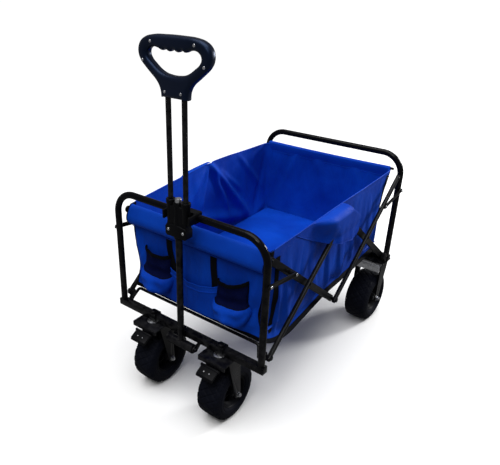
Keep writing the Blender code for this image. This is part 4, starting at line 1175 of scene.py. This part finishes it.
def side_flaps():
    """A flap on each side, sewn to the rim, that hangs over the arms' middle pivot."""
    columns, rows, body = 48, 30, "rear_frame"
    rim_x, arm_x, pin_z = WALL_X + 0.0012, 0.2666, 0.5485
    u, v = grid((0, 1, columns), (0, 1, rows))
    out = rim_x + (arm_x - WALL_X) * ease(u, 0.28, 0.62)
    top_y = -0.215 + 0.247 * u
    low_y = -0.215 + 0.309 * u
    drop = through([(0, 0.004), (0.15, 0.030), (0.35, 0.062), (0.55, 0.086), (0.75, 0.101), (0.90, 0.104),
                    (0.97, 0.086), (1.0, 0.062)], u)
    over = np.clip(v / 0.26, 0, 1) * math.pi / 2
    down = np.clip((v - 0.10) / 0.90, 0, 1)
    slack = ease(v, 0.25, 0.9) * ease(u, 0.30, 0.60)
    for side, label in SIDES:
        rim_z = through(RIGHT_RIM if side > 0 else LEFT_RIM, top_y)
        low_z = through(RIGHT_RIM, top_y) - drop
        level = np.minimum(rim_z, pin_z)
        crest = level + (rim_z - level) * np.cos(over) ** 1.2
        z = crest - (crest - low_z) * down ** 1.25
        x = rim_x + (out - rim_x) * np.sin(over) ** 0.9
        y = top_y + (low_y - top_y) * ease(v, 0.1, 0.95)
        x = x + slack * (0.0040 * ripple(y, 0.4 * z, 0.05, 41) - 0.0020 * np.exp(-((z - 0.485) / 0.012) ** 2))
        y = y + slack * 0.0050 * ripple(z, y, 0.05, 43)
        points = stack(side * x, y, z)
        flap = sheet_piece(f"side_flap_{label}", points, BLUE, body, 0.0012)
        edge = cord(f"side_flap_cord_{label}", points[:, -1], 0.0011, body)
        line = reach(points[:, ::-1], 0.008)
        fold_flat(flap, edge, stitches(f"side_flap_stitches_{label}", line, (float(side), 0, 0), body))


def front_panel():
    """The sewn front of the tub, creased and drawn in at its sides, then settled as cloth."""
    top_z, body = 0.500, "front_frame"
    a, t = grid((-1, 1, 90), (0, 1, 42))
    z = PANEL_FOOT_Z + (top_z - PANEL_FOOT_Z) * t
    x = a * (panel_edge(z) + 0.0012)
    out = 0.0050 * np.sin(math.pi * t) * (1 - a ** 4) + creases(x, z, PANEL_FOLDS)
    out = out + np.sin(math.pi * t) * (0.0022 * ripple(x, z, 0.12, 51))
    points = settle(stack(x, SEWN_Y - out, z), 0.016, 0.014)
    points[..., 1] = np.clip(points[..., 1], SEWN_Y - 0.0150, SEWN_Y + 0.010)
    sheet = sheet_piece("front_panel", points, BLUE, body)
    binding("front_foot_binding", points, (0, 0.006, 0.0125), WEBBING, body)
    return points


ROLL_LOW_Z, ROLL_TOP_Z = 0.4880, 0.5520  # where the roll is sewn to the panel, and its crown


def roll_section(x, swell=0.0):
    """The padded roll's closed outline at x: full above, narrow where it is sewn to the panel."""
    around = 32
    turn = np.linspace(0, math.tau, around, endpoint=False)
    x = np.full(around, x)
    middle_z = 0.5230 - 0.0015 * (1 - (x / 0.232) ** 2)
    up, down = ROLL_TOP_Z - middle_z, middle_z - ROLL_LOW_Z
    low = np.maximum(0, -np.cos(turn))
    depth = (0.0128 + swell) * (1 - 0.70 * low ** 2.2)
    slack = 0.0009 * ripple(x, turn * 0.012, 0.09, 61) + 0.0004 * ripple(x, turn * 0.008, 0.03, 63)
    z = middle_z + np.where(np.cos(turn) > 0, up + swell, down) * np.cos(turn) + slack
    lean = 0.0135 * ease(z, ROLL_TOP_Z + 0.004, ROLL_LOW_Z + 0.010)
    lean = lean * np.clip(np.sin(turn) + 0.25, 0, 1) * (1 - low ** 6)
    y = SEWN_Y - 0.0030 - (depth + slack) * np.sin(turn) + 0.0020 * low - lean
    return np.stack([x, y, z], -1)


def front_roll():
    """The padded sleeve over the front rod, with bound ends and a corded seam below it."""
    body, half, steps = "front_frame", 0.2305, 36
    stations = [half * math.sin(math.pi / 2 * i / steps) for i in range(-steps, steps + 1)]
    roll = lofted("front_roll", np.array([roll_section(x) for x in stations]), BLUE, body, fine=True)
    for side, label in SIDES:
        ring = [roll_section(side * (half + past), swell)
                for past, swell in ((-0.0015, 0.0012), (0.0008, 0.0014), (0.0022, 0.0006))]
        lofted(f"roll_end_{label}", np.array(ring), WEBBING, body)

    def seam_point(x):
        """The roll's front face, a little above where it is sewn to the panel."""
        section = roll_section(x)
        behind = np.maximum(0, section[:, 1] - SEWN_Y + 0.003)
        return section[np.argmin(abs(section[:, 2] - ROLL_LOW_Z - 0.009) + 2 * behind)]

    x = np.linspace(-0.2280, 0.2280, 70)
    seam = stack(x, SEWN_Y - 0.0062, ROLL_LOW_Z - 0.0006 - 0.0010 * (1 - (x / 0.228) ** 2))
    cord("roll_seam_cord", seam, 0.0016, body, half_sides=4)
    stitches("roll_stitches", np.array([seam_point(a) for a in x]), (0, -1, -0.25), body, lift=0.0002)


def nearest(points, axes, a, b):
    """The grid points that lie nearest to the places (a, b) over two of their axes."""
    points = points.reshape(-1, 3)
    first, second = points[:, axes[0]], points[:, axes[1]]
    found = [np.argmin((first - p) ** 2 + (second - q) ** 2) for p, q in zip(np.ravel(a), np.ravel(b))]
    return points[found].reshape(*np.shape(a), 3)


def panel_y(panel, x, z):
    """Where the front panel's surface lies behind each of the places (x, z)."""
    return nearest(panel, (0, 2), x, z)[..., 1]


def evened(values):
    """A row of values, each averaged with its two neighbours on both sides."""
    return np.convolve(np.pad(values, 2, mode="edge"), np.ones(5) / 5, "valid")


def strap(name, panel, route):
    """Flat webbing that follows (x, z) places down the front panel."""
    half_wide, half_thick, lift = 0.021 / 2, 0.0007, 0.0022
    rounded = [(-1, -0.7), (-0.96, -1), (0, -1.1), (0.96, -1), (1, -0.7), (1, 0.7), (0.96, 1), (0, 1.1),
               (-0.96, 1), (-1, 0.7)]
    s, place = np.linspace(0, 1, 26), np.linspace(0, 1, len(route))
    x, z = (through(list(zip(place, values)), s) for values in zip(*route))
    y = evened(np.min([panel_y(panel, x + part * half_wide, z) for part in (-1, 0, 1)], axis=0)) - lift
    slope = np.stack([np.gradient(x), np.gradient(z)])
    slope /= np.linalg.norm(slope, axis=0)
    across = stack(slope[1], 0, -slope[0]) * half_wide
    thick = np.array((0, -half_thick, 0))
    sections = [stack(x, y, z) + a * across + b * thick for a, b in rounded]
    lofted(name, np.stack(sections, 1), WEBBING, "front_frame")


def pocket(label, centre, tilt, panel):
    """A cup pocket: a bound, sagging mouth, a mesh band and a bulging cloth bottom."""
    body = "front_frame"
    columns, rows = 40, 36
    a, t = grid((0, math.pi, columns), (0, 1, rows))
    half = through([(0, 0.0470), (0.3, 0.0480), (0.48, 0.0510), (0.58, 0.0585), (0.80, 0.0545),
                    (0.94, 0.0420), (1.0, 0.0300)], t)
    depth = through([(0, 0.0170), (0.25, 0.0165), (0.46, 0.0190), (0.57, 0.0330), (0.75, 0.0385),
                     (0.91, 0.0300), (1.0, 0.0080)], t)
    bulge = np.sin(a) ** 0.75
    x = centre - half * np.cos(a) + 0.0040 * ripple(t, a * 0.2, 0.5, 71) * np.sin(math.pi * t)
    top = 0.4370 - 0.0085 * np.sin(a) ** 2 - tilt * np.cos(a)
    foot = 0.3030 + 0.0120 * (1 - np.sin(a)) ** 2
    z = top + (foot - top) * t
    wall = panel_y(panel, x, z)
    wall[:, 1:-1] = (wall[:, :-2] + wall[:, 1:-1] + wall[:, 2:]) / 3
    y = wall - 0.0018 - depth * bulge * (1 + 0.22 * ripple(a * 0.3, t, 0.34, 73))
    points = stack(x, y, z)
    split = rows // 2
    band = sheet_piece(f"cup_pocket_mesh_{label}", points[:, :split + 1], MESH_CLOTH, body, 0.0010)
    bag = sheet_piece(f"cup_pocket_bottom_{label}", points[:, split:], BLUE, body, 0.0012)
    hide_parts(f"cup_pocket_{label}")
    binding(f"cup_pocket_binding_{label}", points, (0, 0.004, 0.0085), WEBBING, body, 0.0008, 0.0012)
    cord(f"cup_pocket_seam_{label}", points[:, split], 0.0014, body, WEBBING)
    for name, column in (("inner", 0), ("outer", -1)):
        edge = points[column, :split + 1] - (0, 0.0004, 0)
        cord(f"cup_pocket_side_{name}_{label}", edge, 0.0018, body, WEBBING)


def middle_pocket(panel):
    """The flat pocket between the cup pockets, with a corded double hem that sags."""
    body = "front_frame"
    a, t = grid((0, 1, 44), (0, 1, 26))
    x = -0.082 + 0.166 * a
    top = 0.4000 - 0.0150 * np.sin(math.pi * a) ** 0.8
    z = top + (0.2930 - top) * t
    out = 0.0035 + 0.0110 * np.sin(math.pi * a) ** 0.6 * (1 - 0.75 * t) + 0.0012 * ripple(x, z, 0.06, 81)
    points = stack(x, panel_y(panel, x, z) - out, z)
    sheet = sheet_piece("middle_pocket", points, BLUE, body)
    for name, distance in (("middle_pocket_hem", 0.0), ("middle_pocket_band", 0.0165)):
        cord(name, reach(points, distance) - (0, 0.0008, 0), 0.0015, body, half_sides=4)
    stitches("middle_pocket_stitches", reach(points, 0.0135), (0, -1, 0), body)


def front_details(panel):
    """The straps, the two cup pockets and the flat pocket, all laid on the front panel."""
    strap("front_strap_left", panel,
          [(-0.0905, 0.4895), (-0.0860, 0.4500), (-0.0700, 0.3960), (-0.0600, 0.3500)])
    strap("front_strap_right", panel,
          [(0.0645, 0.4895), (0.0660, 0.4500), (0.0720, 0.3980), (0.0700, 0.3500)])
    pocket("left", -0.1300, 0.0, panel)
    pocket("right", 0.1300, 0.0130, panel)
    middle_pocket(panel)


def corner_straps(wall):
    """Flat webbing sewn down the sides of the tub, just inside its four corners."""
    routes = {"front": [(-0.2975, 0.5250), (-0.2960, 0.4800), (-0.2860, 0.3800), (-0.2840, 0.2840)],
              "rear": [(0.3400, 0.5480), (0.3370, 0.5000), (0.3320, 0.4400), (0.3260, 0.3600)]}
    half_wide, half_thick, lift = 0.0078, 0.0006, 0.0016
    ring = [(-1, -1), (-1, 1), (0, 1), (1, 1), (1, -1), (0, -1)]
    for end, route in routes.items():
        z = np.linspace(route[0][1], route[-1][1], 30)
        y = through(sorted((b, a) for a, b in route), z)
        for side, label in SIDES:
            near = wall[np.sign(wall[..., 0]) == side]
            out = {part: evened(abs(nearest(near, (1, 2), y + part * half_wide, z)[..., 0])) + lift
                   for part in (-1, 0, 1)}
            sections = [stack(side * (out[part] + face * half_thick), y + part * half_wide, z)
                        for part, face in ring]
            fold_flat(lofted(f"{end}_corner_strap_{label}", np.stack(sections, 1), WEBBING, "rear_frame"))


WALLS = walls()
floor_pad()
corner_straps(WALLS)
rear_hem()
side_flaps()
PANEL = front_panel()
front_roll()
front_details(PANEL)
link_rivets()
